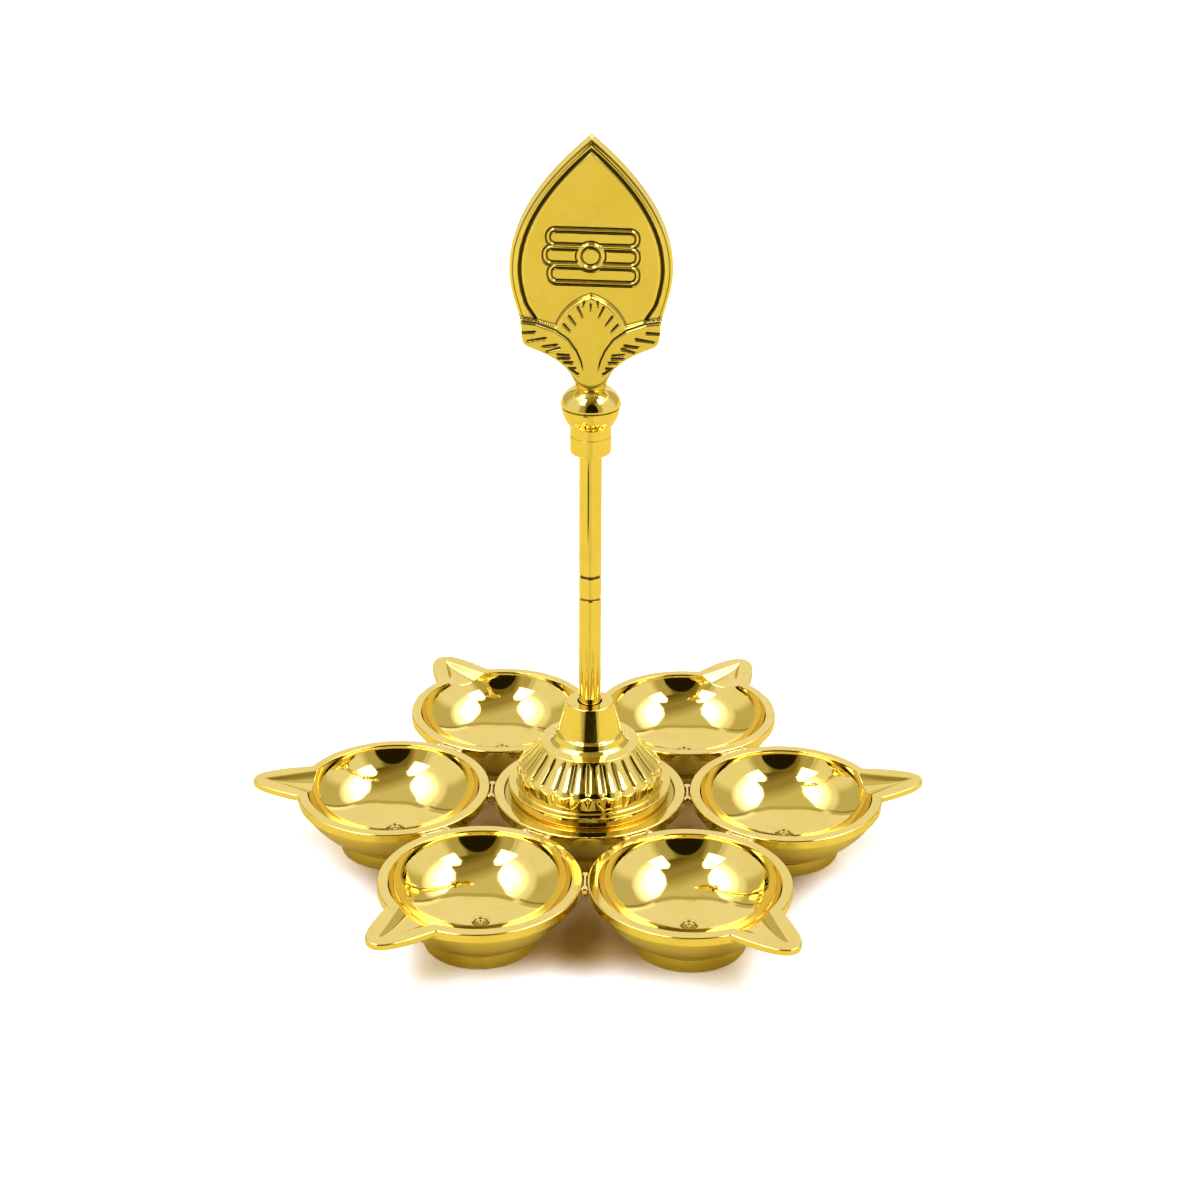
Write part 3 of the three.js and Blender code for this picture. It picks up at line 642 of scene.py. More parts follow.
def addDome():
    mouth = centreRimRadius - cup["rimFlat"]
    skirt = mouth - dome["skirtClearance"]
    inner = skirt - dome["wall"]
    bottom, coneTop = heights("fluted_dome")
    stepTop = cupHeight + dome["stepRise"]
    band = skirt - dome["ledge"] - dome["bandInset"]
    bellRadius = band + dome["bellOverhang"]
    bellBottom = stepTop + dome["bandHeight"]
    bellTop = bellBottom + dome["bellHeight"]
    shoulderTop = bellTop + dome["shoulderRise"]
    collarTop = shoulderTop + dome["collarRise"]
    coneBase = collarTop + dome["coneBaseRise"]
    socketFloor = coneTop - dome["socketDepth"]
    holeFloor = socketFloor - dome["studDepth"]
    hollowTop = holeFloor - dome["wall"]

    # A thin flange nearly closes the gap between the skirt and the bowl
    flangeEdge = mouth - dome["flangeInset"]
    flangeTop, flangeBottom = cupHeight - dome["flangeTop"], cupHeight - dome["flangeBottom"]
    lower = roundedProfile([
        (inner, bottom, 0), (skirt, bottom, 0.2), (skirt, flangeBottom, 0.1),
        (flangeEdge - 0.1, flangeBottom, 0.1), (flangeEdge, flangeTop, 0.1), (skirt, flangeTop, 0.15),
        (skirt, stepTop, 0.3),
        (skirt - dome["ledge"], stepTop, 0.15), (band, stepTop + 0.3, 0.12), (band, bellBottom - 0.1, 0.15),
        (bellRadius - 0.15, bellBottom - 0.08, 0)])
    upper = roundedProfile([
        (dome["bellTop"], bellTop, 0), (dome["bellTop"] - 0.15, bellTop + 0.25, 0.2),
        (dome["shoulder"], shoulderTop, 0.3), (dome["collar"] + 0.5, shoulderTop + 0.9, 0.5),
        (dome["collar"], collarTop, 0.35), (dome["coneBase"], coneBase - 0.35, 0.3),
        (dome["coneBase"] - 0.3, coneBase, 0.25), (dome["coneTop"], coneTop - 0.1, 0.45),
        (dome["socketRadius"], coneTop, 0.2), (dome["socketRadius"], socketFloor, 0.2),
        (dome["studHole"], socketFloor, 0.15), (dome["studHole"], holeFloor, 0.2),
        (dome["centre"], holeFloor, 0)])
    profile = np.concatenate([lower, domeBell(bellBottom, bellRadius), upper[1:]])
    columns = flutes["count"] * flutes["columnsEach"]
    rings, recess = flutedSurface(turned(profile, columns), bellBottom, bellTop)
    # Painted shade on the flange, where it nearly closes the gap under the skirt
    onFlange = (profile[:, :1] > skirt + 0.05) & (profile[:, 1:] < cupHeight)
    recess = np.maximum(recess, dome["flangeDark"] * onFlange)

    hollow = turned(roundedProfile([
        (dome["centre"], hollowTop, 0), (dome["hollowTop"], hollowTop, 0.3),
        (band - dome["wall"], bellBottom - 1, 0.5), (inner, stepTop - dome["wall"], 0.5),
        (inner, bottom + 0.3, 0)]), columns)
    shell = closedShell(np.concatenate([hollow, rings]), (0, 0, hollowTop), (0, 0, holeFloor))
    recess = np.concatenate([np.zeros(hollow.shape[:2]), recess])
    addPiece("fluted_dome", shell, domeBrass, "base", recess)


addDome()
print("stage: dome")


# Stem, studs and knop

stem = {
    "radius": 3.5, "grooveWidth": 0.9, "grooveDepth": 0.5, "grooveDark": 0.85, "hole": 2.3, "holeDepth": 8.3,
    "edge": 0.12, "columns": 128,
}
thread = {"pitch": 1.0, "depth": 0.22, "rowsPerPitch": 10, "columns": 48, "end": 0.15, "fade": (0.1, 0.5)}
knop = {
    "ferruleRadius": 6.28, "ferruleEdge": 0.9, "seamRise": 5.7, "seamDepth": 0.08, "seamHalf": 0.12,
    "socket": 3.8, "ballRadius": 8.8, "ballDepth": 9.3, "capRadius": 9.15, "capLip": 0.55, "capHeight": 6.9,
    "tangSocket": 3.2, "tangDepth": 1.7, "socketDepth": 4.1, "edge": 0.1, "seamDark": 0.6, "jointDark": 0.9,
    "columns": 160,
}


def turnedPiece(node, corners, columns, body, hollow=False, seams=()):
    # Seams are bands (low, high, darkness) of painted shade in grooves and joints
    profile = roundedProfile(corners, 5, 0.08)
    profile = profile[:-1] if hollow else profile[1:-1]
    ends = [] if hollow else [(0, 0, corners[0][1]), (0, 0, corners[-1][1])]
    recess = np.zeros(len(profile))
    for low, high, darkness in seams:
        recess = np.maximum(recess, darkness * ((profile[:, 1] > low) & (profile[:, 1] < high)))
    shell = closedShell(turned(profile, columns), *ends)
    addPiece(node, shell, turnedBrass, body, np.repeat(recess, columns))


def addStem():
    radius, hole, depth, edge = stem["radius"], stem["hole"], stem["holeDepth"], stem["edge"]
    neck = radius - stem["grooveDepth"]
    couplingLow, couplingTop = heights("stem_coupling")
    low, _ = heights("stem_lower")
    groove, joint = couplingLow - stem["grooveWidth"], couplingLow - 0.02
    # The grooves at the coupling get painted shade
    turnedPiece("stem_lower", [
        (0, low + depth, 0), (hole, low + depth, edge), (hole, low, edge), (radius, low, edge),
        (radius, groove, edge), (neck, groove, edge), (neck, joint, edge), (hole, joint, edge),
        (hole, couplingTop - depth, edge), (0, couplingTop - depth, 0),
    ], stem["columns"], "stem", seams=[(groove + 0.1, couplingLow, stem["grooveDark"])])
    turnedPiece("stem_coupling", [
        (hole, couplingLow + 1, 0), (hole, couplingLow, edge), (radius, couplingLow, edge),
        (radius, couplingTop, edge), (hole, couplingTop, edge), (hole, couplingLow + 1, 0),
    ], stem["columns"], "stem", hollow=True)
    low, high = heights("stem_upper")
    groove = low + stem["grooveWidth"]
    turnedPiece("stem_upper", [
        (0, low + depth, 0), (hole, low + depth, edge), (hole, low, edge), (neck, low, edge),
        (neck, groove, edge), (radius, groove, edge), (radius, high, edge), (hole, high, edge),
        (hole, high - depth, edge), (0, high - depth, 0),
    ], stem["columns"], "upper_stem", seams=[(low, groove - 0.1, stem["grooveDark"])])


def addStud(node, body):
    # Helical ridge: radius falls by a triangle wave of height / pitch - angle / (2 pi)
    low, high = heights(node)
    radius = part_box(node)[1].x / mm
    rows = int((high - low) / thread["pitch"] * thread["rowsPerPitch"])
    z = np.linspace(low + thread["end"], high - thread["end"], rows)[:, None]
    angle = circle(thread["columns"])
    wave = np.abs(2 * ((z / thread["pitch"] - angle / fullTurn) % 1) - 1)
    fade = smoothStep(np.minimum(z - low, high - z), *thread["fade"])
    rings = ringsAround(radius - thread["depth"] * (wave * fade + (1 - fade) * 1.4), angle, z)
    addPiece(node, closedShell(rings, (0, 0, low), (0, 0, high)), studBrass, body)


def addKnop():
    bottom, equator = heights("ferrule")
    ferrule, ball, socket, edge = knop["ferruleRadius"], knop["ballRadius"], knop["socket"], knop["edge"]
    # Ball meets the ferrule where its radius equals the ferrule's
    turns = np.linspace(math.acos(ferrule / ball), 0, 24)
    under = [(ball * math.cos(a), equator - knop["ballDepth"] * math.sin(a), 0.02) for a in turns]
    socketTop = bottom + knop["socketDepth"]
    holeTop = socketTop + stem["holeDepth"]
    seam, half = bottom + knop["seamRise"], knop["seamHalf"]
    tang, tangFloor = knop["tangSocket"], equator - knop["tangDepth"]
    # The joints and the ferrule's seam get painted shade
    turnedPiece("ferrule", [
        (0, holeTop, 0), (stem["hole"], holeTop, edge), (stem["hole"], socketTop, edge),
        (socket, socketTop, edge), (socket, bottom, 0.2), (ferrule, bottom, knop["ferruleEdge"]),
        (ferrule, seam - half, 0.04),
        (ferrule - knop["seamDepth"], seam, 0.04), (ferrule, seam + half, 0.04), (*under[0][:2], 0.5),
        *under[1:-1], (ball, equator - 0.02, edge), (tang, equator, edge), (tang, tangFloor, edge),
        (0, tangFloor, 0),
    ], knop["columns"], "head", seams=[
        (bottom - 0.1, bottom + 0.12, knop["jointDark"]), (seam - 0.05, seam + 0.05, knop["seamDark"]),
        (equator - 0.35, equator + 0.1, knop["jointDark"])])
    low, high = heights("knop_cap")
    radius, capHeight = knop["capRadius"], knop["capHeight"]
    turns = np.linspace(0.12, math.asin((high - equator) / capHeight), 26)
    over = [(radius * math.cos(a), equator + capHeight * math.sin(a), 0.05) for a in turns]
    # The cap's joint gets painted shade
    turnedPiece("knop_cap", [
        (tang, low + 1, 0), (tang, low, edge), (radius, low, 0.22), (radius, low + knop["capLip"], 0.2),
        *over[1:-1], (over[-1][0], high, edge), (tang, high, edge), (tang, low + 1, 0),
    ], knop["columns"], "head", hollow=True, seams=[(low - 0.1, low + 0.06, knop["jointDark"])])


addStem()
addStud("socket_stud", "socket_screw")
addStud("coupling_stud", "coupling_screw")
addStud("head_stud", "head_screw")
addKnop()
print("stage: stem and knop")


# Head: heights h above its base, x from its axis, relief measured outwards from the plate's face

head = {
    "height": 75.6, "halfThickness": 2.5, "bevel": 0.95, "bevelLine": 0.12, "bevelLineOff": 0.1,
    "lineHalf": 0.3, "neckRadius": 4.65, "neckBlend": 9, "neckHandle": (1.2, -0.2),
    "wide": (23.9, 36), "waist": (20.55, 20),
    "leafTip": (20.0, 14.1), "cornerTop": (20.25, 15.9), "cornerEnd": (18.4, 13.5), "leafTipBulge": 0.55,
    "tipHandle": (12, 10.1), "wideHandles": (16, 6), "waistHandle": (1, 4), "leafHandle": (4.6, 2.0),
    "calyxHalf": 4.78, "calyxBevel": 0.6, "wallHalf": 0.13, "flatStart": (0.6, 3.2), "neckHeights": (7, 12),
    "seamRise": 0.1, "thinnest": 0.12, "tangRadius": 2.9,
    "fineRows": 262, "coarseRows": 62, "fineHeight": 50, "frontColumns": 206, "backColumns": 82,
}
border = {
    "inset": 3.1, "growth": 1.5, "growthHeights": (27, 20), "halfWidth": 0.62, "depth": 0.6,
    "lip": 0.1, "lipOff": 0.92, "footHeights": (19.4, 20.6), "fall": 0.16,
}
bars = {
    # Low, high, left and right edges
    "spans": ((43.5, 48.2, -12.5, 13.4), (38.0, 42.9, -13.5, 13.5), (32.5, 37.4, -12.1, 13.5)),
    "lean": -0.022, "corner": 2.2, "beadHalf": 0.4, "beadHeight": 0.4,
    "grooveOff": 0.66, "grooveHalf": 0.4, "grooveDepth": 0.35,
}
ring = {
    "centre": (-0.1, 40.4), "radius": 3.5, "clear": (0.3, 0.9), "beadHalf": 0.62, "beadHeight": 0.55,
    "grooveOff": 0.9, "grooveHalf": 0.42,
}
petal = {
    "half": 10.3, "foot": 19.5, "peak": 29.1, "shoulder": (7.4, 26.8), "notchHalf": 0.5, "notchDepth": 0.6,
    "notches": (((7.9, 20.5), (6, 18.4)), ((6.3, 23), (4.4, 20.4)), ((3.8, 25.8), (2.4, 22.9)),
                ((1.9, 27.4), (2.2, 26.2)), ((0, 26.6), (0, 25))),
}
leaf = {
    "top": ((15.5, 21.0), (21.8, 22.0)),
    "line": ((20, 21.2), (16.1, 20.7), (10.3, 18.6), (6.6, 15.9), (4.25, 12.5), (2.9, 9.4), (2.1, 6)),
    "lineHalf": 0.62, "lineDepth": 0.55, "barbHalf": 0.5, "barbDepth": 0.6,
    "barbs": (((16.4, 18.1), (20.5, 17.9)), ((13.2, 16.2), (18.7, 15.3)), ((9.9, 14.2), (14.3, 13.7)),
              ((9.1, 13.2), (13, 12.1)), ((6.4, 11), (10, 11.4)), ((6.2, 10.1), (9.8, 10.2)),
              ((5.4, 8.8), (8.1, 8.9)), ((4.6, 7), (6.5, 7.1)), ((3.7, 5.2), (6, 6.8))),
}


def headOutline():
    # Right half, from the tip to the neck
    tip = np.array([0, head["height"]])
    wide, waist, leafTip, cornerEnd, neck = (np.array(point, float) for point in (
        head["wide"], head["waist"], head["leafTip"], head["cornerEnd"],
        (head["neckRadius"], head["neckBlend"])))
    aboveWide, belowWide = head["wideHandles"]
    bulge = (leafTip[0] + head["leafTipBulge"], (waist[1] + leafTip[1]) / 2)
    return np.concatenate([
        cubic(tip, tip + head["tipHandle"] * np.array([1, -1]), wide + (0, aboveWide), wide, 160),
        cubic(wide, wide - (0, belowWide), waist + head["waistHandle"], waist)[1:],
        quadratic(waist, bulge, head["cornerTop"])[1:],
        quadratic(head["cornerTop"], leafTip, cornerEnd, 12)[1:],
        cubic(cornerEnd, cornerEnd - head["leafHandle"], neck + head["neckHandle"] * np.array([1, -1]),
              (head["neckRadius"], 0), 90)[1:],
    ])


def lineDistance(x, h, line):
    # Distance from each point to a polyline, and how far along it the nearest point lies, from 0 to 1
    line = np.array(line, float)
    best = np.full(x.shape, 1e9)
    where = np.zeros(x.shape)
    lengths = np.concatenate([[0], np.cumsum(np.hypot(*np.diff(line, axis=0).T))])
    for a, b, before, after in zip(line, line[1:], lengths, lengths[1:]):
        side = b - a
        square = side @ side + 1e-12
        t = np.clip(((x - a[0]) * side[0] + (h - a[1]) * side[1]) / square, 0, 1)
        away = np.hypot(x - a[0] - t * side[0], h - a[1] - t * side[1])
        nearer = away < best
        best = np.where(nearer, away, best)
        where = np.where(nearer, (before + t * (after - before)) / lengths[-1], where)
    return best, where


def barRelief(x, h):
    # Three rounded bars outlined by a raised bead with a groove on each side, and a ring over their middle
    bead = np.zeros(x.shape)
    groove = np.zeros(x.shape)
    for low, high, left, right in bars["spans"]:
        middle, halfHeight = (low + high) / 2 + bars["lean"] * x, (high - low) / 2
        corner = min(bars["corner"], halfHeight)
        dx = np.abs(x - (left + right) / 2) - ((right - left) / 2 - corner)
        dh = np.abs(h - middle) - (halfHeight - corner)
        outside = np.hypot(np.maximum(dx, 0), np.maximum(dh, 0)) + np.minimum(np.maximum(dx, dh), 0) - corner
        bead = np.maximum(bead, ridge(outside, bars["beadHalf"]))
        groove = np.maximum(groove, ridge(np.abs(outside) - bars["grooveOff"], bars["grooveHalf"]))
    fromRing = np.hypot(x - ring["centre"][0], h - ring["centre"][1]) - ring["radius"]
    clear = smoothStep(fromRing, *ring["clear"])
    ringGroove = ridge(np.abs(fromRing) - ring["grooveOff"], ring["grooveHalf"])
    ringBead = ridge(fromRing, ring["beadHalf"]) * ring["beadHeight"]
    bead = np.maximum(bead * clear * bars["beadHeight"], ringBead)
    groove = np.maximum(groove * clear, ringGroove) * (bead < 0.05)
    return bead - groove * bars["grooveDepth"], groove


def calyxEdge():
    # Top edge of the leafed base: left leaf, pointed petal, right leaf
    right = quadratic((0, petal["peak"]), petal["shoulder"], (petal["half"], petal["foot"]))
    side = np.concatenate([right, leaf["top"]])
    return np.concatenate([side[::-1] * [-1, 1], side[1:]])


def calyxRelief(x, h):
    # Engraved leaf lines, barbs across the leaves and notches inside the petal's edge; depth and painted
    # shade
    mirrored = np.abs(x)
    away, along = lineDistance(mirrored, h, leaf["line"])
    line = ridge(away, leaf["lineHalf"] * (1 - 0.45 * along)) * smoothStep(1 - along, 0, 0.1)
    cut, dark = leaf["lineDepth"] * line, line ** 0.6
    barbs = [(barb, leaf["barbHalf"], leaf["barbDepth"]) for barb in leaf["barbs"]]
    notches = [(notch, petal["notchHalf"], petal["notchDepth"]) for notch in petal["notches"]]
    for stroke, half, depth in barbs + notches:
        away, along = lineDistance(mirrored, h, stroke)
        mark = ridge(away, half * (1.15 - 0.45 * along))
        cut = np.maximum(cut, depth * mark)
        dark = np.maximum(dark, mark ** 0.5)
    return cut, dark


def headFace(x, h, halfWidth, outline):
    # Distance of the face from the mid-plane, and the painted shade of each point in a recess
    edge, _ = lineDistance(x, h, np.concatenate([outline, (outline * [-1, 1])[::-1]]))
    chamfer = head["bevel"] * np.clip(1 - edge / head["bevel"], 0, 1)
    bevelLine = ridge(edge - head["bevel"] - head["bevelLineOff"], head["lineHalf"])
    fall = border["fall"] * smoothStep(edge, border["inset"], 0.0)
    onBorder = smoothStep(h, *border["footHeights"])
    fromChannel = edge - border["inset"] - border["growth"] * smoothStep(h, *border["growthHeights"])
    channel = np.clip(1 - (fromChannel / border["halfWidth"]) ** 4, 0, 1) * onBorder
    lips = ridge(np.abs(fromChannel) - border["lipOff"], head["lineHalf"]) * onBorder
    relief, barGroove = barRelief(x, h)
    plate = head["halfThickness"] - chamfer - fall + relief + lips * border["lip"]
    plate = plate - channel * border["depth"] - bevelLine * head["bevelLine"] * onBorder

    top = calyxEdge()
    inside, _ = lineDistance(x, h, top)
    inside = np.where(h < np.interp(x, *top.T), inside, -inside)
    # Short wall, then a chamfer up to the calyx's flat face
    wall = smoothStep(inside, -head["wallHalf"], head["wallHalf"])
    slope = head["calyxBevel"] * (1 - np.clip(inside / head["calyxBevel"], 0, 1))
    cut, dark = calyxRelief(x, h)
    # Round neck that grows squarer upwards, cut flat at its half thickness: depth = w (1 - |x / w|^n)^(1 / n)
    power = 2 + 2 * smoothStep(h, *head["flatStart"])
    roundEdge = halfWidth * np.maximum(1 - np.abs(x / halfWidth) ** power, 1e-5) ** (1 / power)
    calyx = smoothMin(head["calyxHalf"] - cut - slope, roundEdge, 0.1)
    crease = ridge(roundEdge - head["calyxHalf"], head["lineHalf"]) * smoothStep(h, 9, 7)
    seam = 0.9 * ridge(inside + 0.25, 0.35)
    # Painted shade in the border channel, bar grooves and bevel line, under the calyx's edge, in its engraved
    # lines and at the neck's crease
    onPlate = np.maximum(np.maximum(channel, np.minimum(1.5 * barGroove, 1)), 0.85 * bevelLine * onBorder)
    recess = between(np.maximum(onPlate, seam), np.maximum(dark, 0.8 * crease), wall)
    return between(plate, calyx, wall), recess


def addHead():
    outline = headOutline()
    base = heights("knop_cap")[1] + head["seamRise"]
    tangBottom = heights("spear_head")[0]
    points = meshPoints("spear_head")
    far = points[np.argmax(points[:, 0])]
    turn = math.radians(round(math.degrees(math.atan2(far[1], far[0]))))

    # Fine rows over the relief and coarser rows above; columns are cosine-spaced on the round neck
    fine = np.linspace(0, head["fineHeight"], head["fineRows"])
    coarse = np.linspace(head["fineHeight"], head["height"] - 0.12, head["coarseRows"] + 1)
    h = np.concatenate([fine, coarse[1:]])[:, None]
    halfWidth = np.interp(h, *outline[::-1].T[::-1])
    eased = 0.4 + 0.6 * (1 - smoothStep(h, *head["neckHeights"]))

    def face(columns, side):
        u = np.linspace(-1, 1, columns)
        x = halfWidth * between(u, np.sin(u * math.pi / 2), eased)
        depth, recess = headFace(x, h + 0 * x, halfWidth, outline)
        return np.stack([x, side * np.maximum(depth, head["thinnest"]), h + 0 * x, recess], -1)

    # Down the front from left to right, then along the back from right to left
    loop = np.concatenate([face(head["frontColumns"], -1), face(head["backColumns"], 1)[:, ::-1]], 1)
    shell = closedShell(loop[..., :3], (0, 0, 0), (0, 0, head["height"]))
    tangTop = base + 0.6
    tang = turned(roundedProfile([
        (0.3, tangBottom, 0), (head["tangRadius"], tangBottom, 0.2), (head["tangRadius"], base + 0.5, 0.1),
        (0.3, tangTop, 0)]), 64)
    joined = joinShells(
        turnedAndMoved(shell, turn, (0, 0, base)), closedShell(tang, (0, 0, tangBottom), (0, 0, tangTop)))
    addPiece("spear_head", joined, headBrass, "head", loop[..., 3])


addHead()
print("stage: head")


# Floor: metres and degrees; turn 0 is away from the lamp towards the back, negative to its left

floorLook = {
    # Lit and shaded are the floor's painted light and painted shadow as seen directly
    "size": 6.0, "lit": (1.5, 1.56, 1.8), "shaded": (0.66, 0.47, 0.22), "shadeEdge": (0.062, 0.083),
    # The reflected colour is warmed with painted light off the brass; the front and strip values paint shade
    # into it
    "reflected": (0.67, 0.61, 0.245), "frontHalf": 13, "frontStart": 0.12, "frontShare": 0.85,
    "stripTurn": -20, "stripHalf": 7, "stripNear": 0.262, "stripFar": 0.347, "stripValue": 0.02,
    "softTurn": 1, "softLength": 0.01,
}


def addFloor():
    size = floorLook["size"]
    mesh = bpy.data.meshes.new("floor")
    corners = [(-size, -size, 0), (size, -size, 0), (size, size, 0), (-size, size, 0)]
    mesh.from_pydata(corners, [], [(0, 1, 2, 3)])
    material = bpy.data.materials.new("floorWhite")
    tree = emptyTree(material)
    x, y, _ = parts(coordinates(tree, "Object"))
    y = y * -1
    distance = (x * x + y * y).math("SQRT")
    turn = x.math("ARCTAN2", y) * toDegrees
    softTurn, softLength = floorLook["softTurn"], floorLook["softLength"]

    # Directly seen: white paper with a painted shadow, browner, between the cups
    shade = ramp(distance, *floorLook["shadeEdge"])
    seen = mixColour(tinted(floorLook["shaded"]), tinted(floorLook["lit"]), shade)
    # Seen in the brass: warmer, with painted light off the brass, a painted duller patch in front and a
    # painted dark strip to the left of the camera
    inFront = below(abs(turn), floorLook["frontHalf"], softTurn)
    inFront = inFront * above(distance, floorLook["frontStart"], softLength)
    inStrip = (below(abs(turn - floorLook["stripTurn"]), floorLook["stripHalf"], softTurn)
               * (above(distance, floorLook["stripNear"], softLength)
                  * below(distance, floorLook["stripFar"], softLength)))
    dull = tinted(floorLook["reflected"], [floorLook["frontShare"]] * 3)
    reflected = mixColour(tinted(floorLook["reflected"]), dull, inFront)
    reflected = mixColour(reflected, tinted([floorLook["stripValue"]] * 3), inStrip)
    byCamera = Quantity(addNode(tree, "LightPath").outputs["Is Camera Ray"])
    diffuse = addNode(tree, "BsdfDiffuse", {"Color": mixColour(reflected, seen, byCamera)})
    addNode(tree, "OutputMaterial", {"Surface": diffuse.outputs[0]})
    mesh.materials.append(material)
    addObject("floor", mesh)


addFloor()


# Light tent: azimuth 0 is behind the lamp, negative to its left; elevation is above the floor; degrees

tent = {
    "turn": 1.3,
    # Brightness from low to high depth, which leans to the left
    "slant": 0.7, "ceiling": ((-0.64, -0.34, 0.14, 0.34), (-0.17, 0.17, 0, 0.36)),
    # Brightness from low to high azimuth on both sides, each multiplied onto the one before
    "walls": ((64, 82, 0.6, 0.93), (128, 142, 1, 0.54), (152, 162, 1, 0.42)),
    "wallFade": (56, 50), "wallTop": (38, 45), "wallTopValue": 1.0, "wallTopEnd": (128, 122),
    # Tint of green and blue at brightness 0 and at the third value
    "green": (0.72, 0.96, 0.8), "blue": (0.05, 1.0, 1),
}
panel = {
    "half": 0.6, "top": 1.88, "power": 3.5, "value": 0.95, "edge": (27, 33), "edgeTop": 50, "edgeValue": 1.5,
    "edgeSoft": 4, "ring": 1.22, "ringSoft": 0.04, "ringValue": 0.53, "ringStart": (46, 50),
    "line": 34.25, "lineHalf": 0.95, "lineSoft": 0.3, "lineValue": 0.3, "outline": (1.03, 0.98),
}
windows = (
    {"azimuth": (-122, -33), "middle": -82, "reach": 44, "top": 75, "crown": 13, "power": 3,
     "fade": (46, 71), "low": 1.0, "high": 6.5},
    {"azimuth": (38, 113), "middle": 77, "reach": 40, "top": 70, "crown": 15, "power": 3,
     "fade": (40, 63), "low": 1.0, "high": 6.5},
    {"azimuth": (-151, -125), "middle": -138, "reach": 13, "top": 69, "crown": 6, "power": 2,
     "fade": (37, 40), "low": 0.5, "high": 6.2},
    {"azimuth": (114, 139), "middle": 126.5, "reach": 12.5, "top": 65, "crown": 5, "power": 2,
     "fade": (40, 43), "low": 0.6, "high": 6.2},
)
panes = {"azimuths": (-138, 127), "halfWidth": 0.8, "core": 0.2, "top": (64, 60), "value": 1.0}
opening = {"middle": 175, "half": 23, "top": 49, "power": 2.4, "value": 0.015, "edge": (1.12, 0.9)}


def ceilingAndWalls(x, y, aside, elevation):
    # The ceiling brightens towards the back left, and the side walls are darker towards the camera
    depth = y - x * tent["slant"]
    far, near = (ramp(depth, *part, smooth=False) for part in tent["ceiling"])
    wall = ramp(aside, *tent["walls"][0])
    for part in tent["walls"][1:]:
        wall = wall * ramp(aside, *part)
    wallTop = ramp(elevation, *tent["wallTop"]) * ramp(aside, *tent["wallTopEnd"])
    return mix(far + near, mix(wall, tent["wallTopValue"], wallTop), ramp(elevation, *tent["wallFade"]))


def withPanel(value, x, y, z, aside, elevation):
    # Back panel: (|x| / a)^n + (z / b)^n < y^n, with bright edges, a dim ring round its top and dark seams
    power = panel["power"]
    across = (abs(x) / panel["half"]) ** power
    up = (z.math("MAXIMUM", 0) / panel["top"]) ** power
    ratio = (across + up) ** (1 / power) / y.math("MAXIMUM", 0.01)
    inRing = below(ratio, panel["ring"], panel["ringSoft"]) * ramp(elevation, *panel["ringStart"])
    value = mix(value, panel["ringValue"], inRing)
    onEdge = ramp(aside, *panel["edge"]) * below(elevation, panel["edgeTop"], panel["edgeSoft"])
    value = mix(value, mix(panel["value"], panel["edgeValue"], onEdge), ramp(ratio, *panel["outline"]))
    inLine = (below(abs(aside - panel["line"]), panel["lineHalf"], panel["lineSoft"])
              * ramp(elevation, panel["edgeTop"], panel["edgeTop"] - panel["edgeSoft"]))
    return mix(value, panel["lineValue"], inLine)


def withWindow(value, window, azimuth, elevation):
    # Lit window with a curved top: elevation + c |t|^n below the top, t from -1 to 1 across
    low, high = window["azimuth"]
    start, end = window["fade"]
    share = (abs(azimuth - window["middle"]) / window["reach"]) ** window["power"]
    mask = below(abs(azimuth - (low + high) / 2), (high - low) / 2, 1)
    mask = mask * below(elevation + share * window["crown"], window["top"], 1.5)
    mask = mask * ramp(elevation, start - 2, start + 1)
    return mix(value, ramp(elevation, start, end, window["low"], window["high"]), mask)


def withOpening(value, azimuth, elevation):
    # Dark arch that the camera stands in: |azimuth / a|^n + (elevation / b)^n < 1
    away = abs((azimuth - opening["middle"]).math("WRAP", 180, -180))
    wide = (away / opening["half"]) ** opening["power"]
    high = (elevation.math("MAXIMUM", 0) / opening["top"]) ** opening["power"]
    return mix(value, opening["value"], ramp(wide + high, *opening["edge"]))


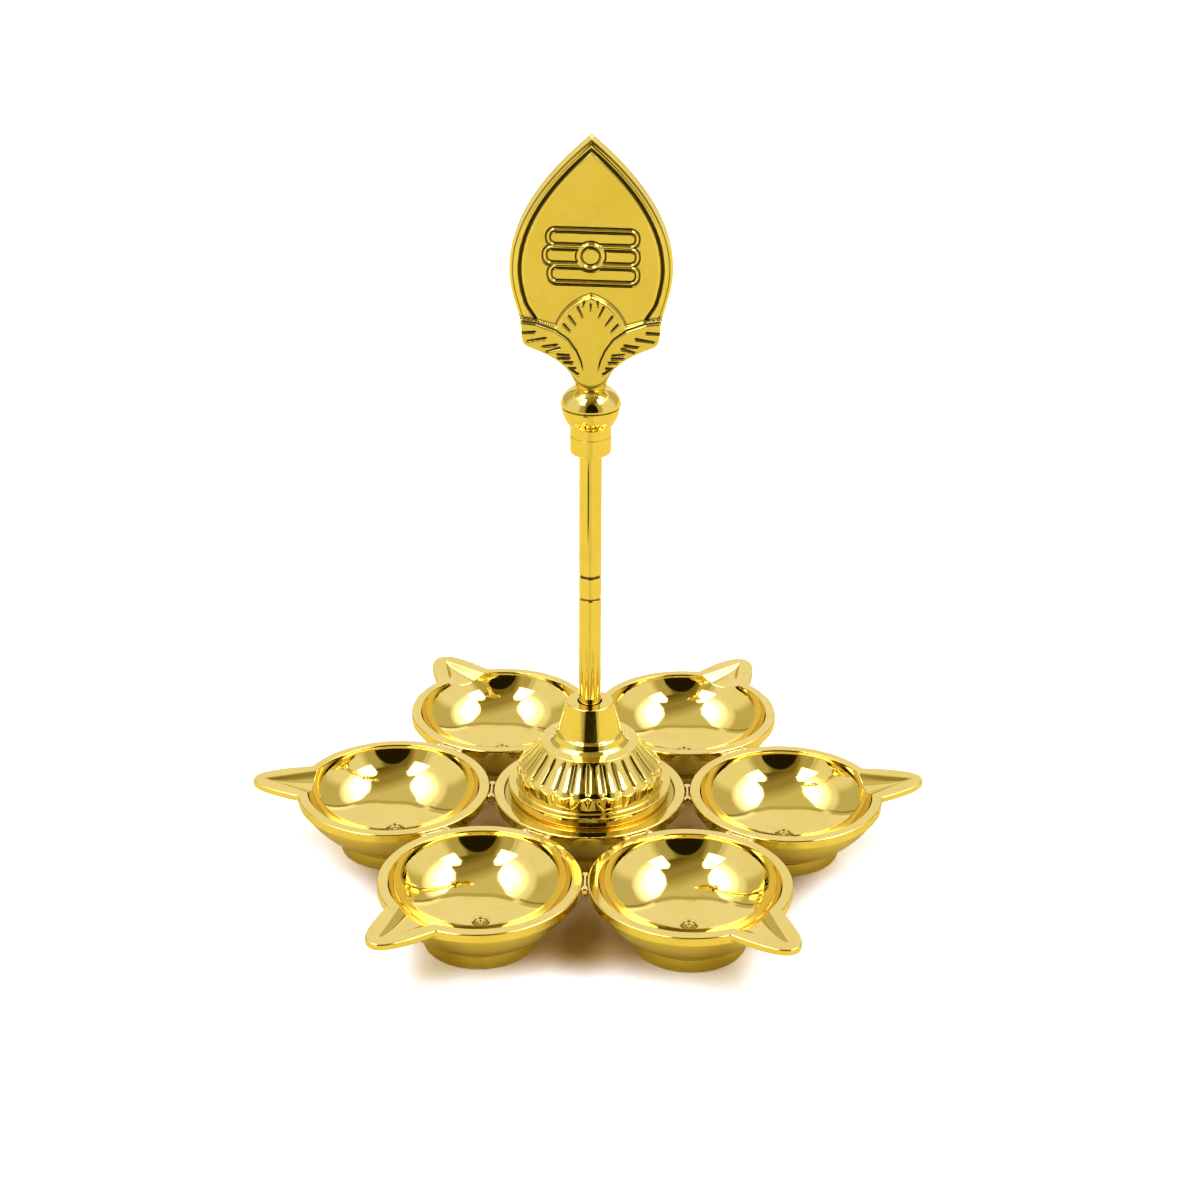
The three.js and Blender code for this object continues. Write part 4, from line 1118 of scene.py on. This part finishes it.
def buildWorld():
    world = bpy.data.worlds.new("lightTent")
    bpy.context.scene.world = world
    tree = emptyTree(world)
    x, y, z = parts(coordinates(tree, "Generated"))
    azimuth = x.math("ARCTAN2", y) * toDegrees + tent["turn"]
    elevation = z.math("ARCSINE") * toDegrees
    aside = abs(azimuth)

    value = ceilingAndWalls(x, y, aside, elevation)
    value = withPanel(value, x, y, z, aside, elevation)
    for window in windows:
        value = withWindow(value, window, azimuth, elevation)
    for middle in panes["azimuths"]:
        pane = ramp(abs(azimuth - middle), panes["halfWidth"], panes["core"]) * ramp(elevation, *panes["top"])
        value = mix(value, panes["value"], pane)
    value = withOpening(value, azimuth, elevation)

    # Dim parts are warmed by light off the brass
    warmth = value.math("MINIMUM", 1.0)
    green, blue = (value * ramp(warmth, 0, full, dim, bright, smooth=False)
                   for dim, bright, full in (tent["green"], tent["blue"]))
    colour = addNode(tree, "CombineColor", {0: value, 1: green, 2: blue})
    light = addNode(tree, "Background", {"Color": colour.outputs[0]})
    white = addNode(tree, "Background", {"Color": (1, 1, 1, 1)})
    byCamera = addNode(tree, "LightPath").outputs["Is Camera Ray"]
    choice = addNode(tree, "MixShader", {0: byCamera, 1: light.outputs[0], 2: white.outputs[0]})
    addNode(tree, "OutputWorld", {"Surface": choice.outputs[0]})


buildWorld()
print("stage: floor and light")


# Camera: metres, radians and millimetres of film

view = {
    "place": (0.01468, -0.6408, 0.3874), "yaw": -0.0181, "pitch": 0.4364, "roll": 0.0055,
    "lens": 68.19, "sensor": 36, "clip": (0.05, 30),
}


def addCamera():
    data = bpy.data.cameras.new("camera")
    data.lens = view["lens"]
    data.sensor_width = view["sensor"]
    data.clip_start, data.clip_end = view["clip"]
    camera = addObject("camera", data)
    yaw, pitch, roll = view["yaw"], view["pitch"], view["roll"]
    forward = Vector((math.sin(yaw) * math.cos(pitch), math.cos(yaw) * math.cos(pitch), -math.sin(pitch)))
    level = forward.cross(Vector((0, 0, 1))).normalized()
    upright = level.cross(forward)
    right = level * math.cos(roll) + upright * math.sin(roll)
    up = upright * math.cos(roll) - level * math.sin(roll)
    turn = Matrix((right, up, -forward)).transposed().to_4x4()
    camera.matrix_world = Matrix.Translation(view["place"]) @ turn
    bpy.context.scene.camera = camera


addCamera()
bpy.context.scene.view_settings.view_transform = "Standard"

print("stage: finished pieces")
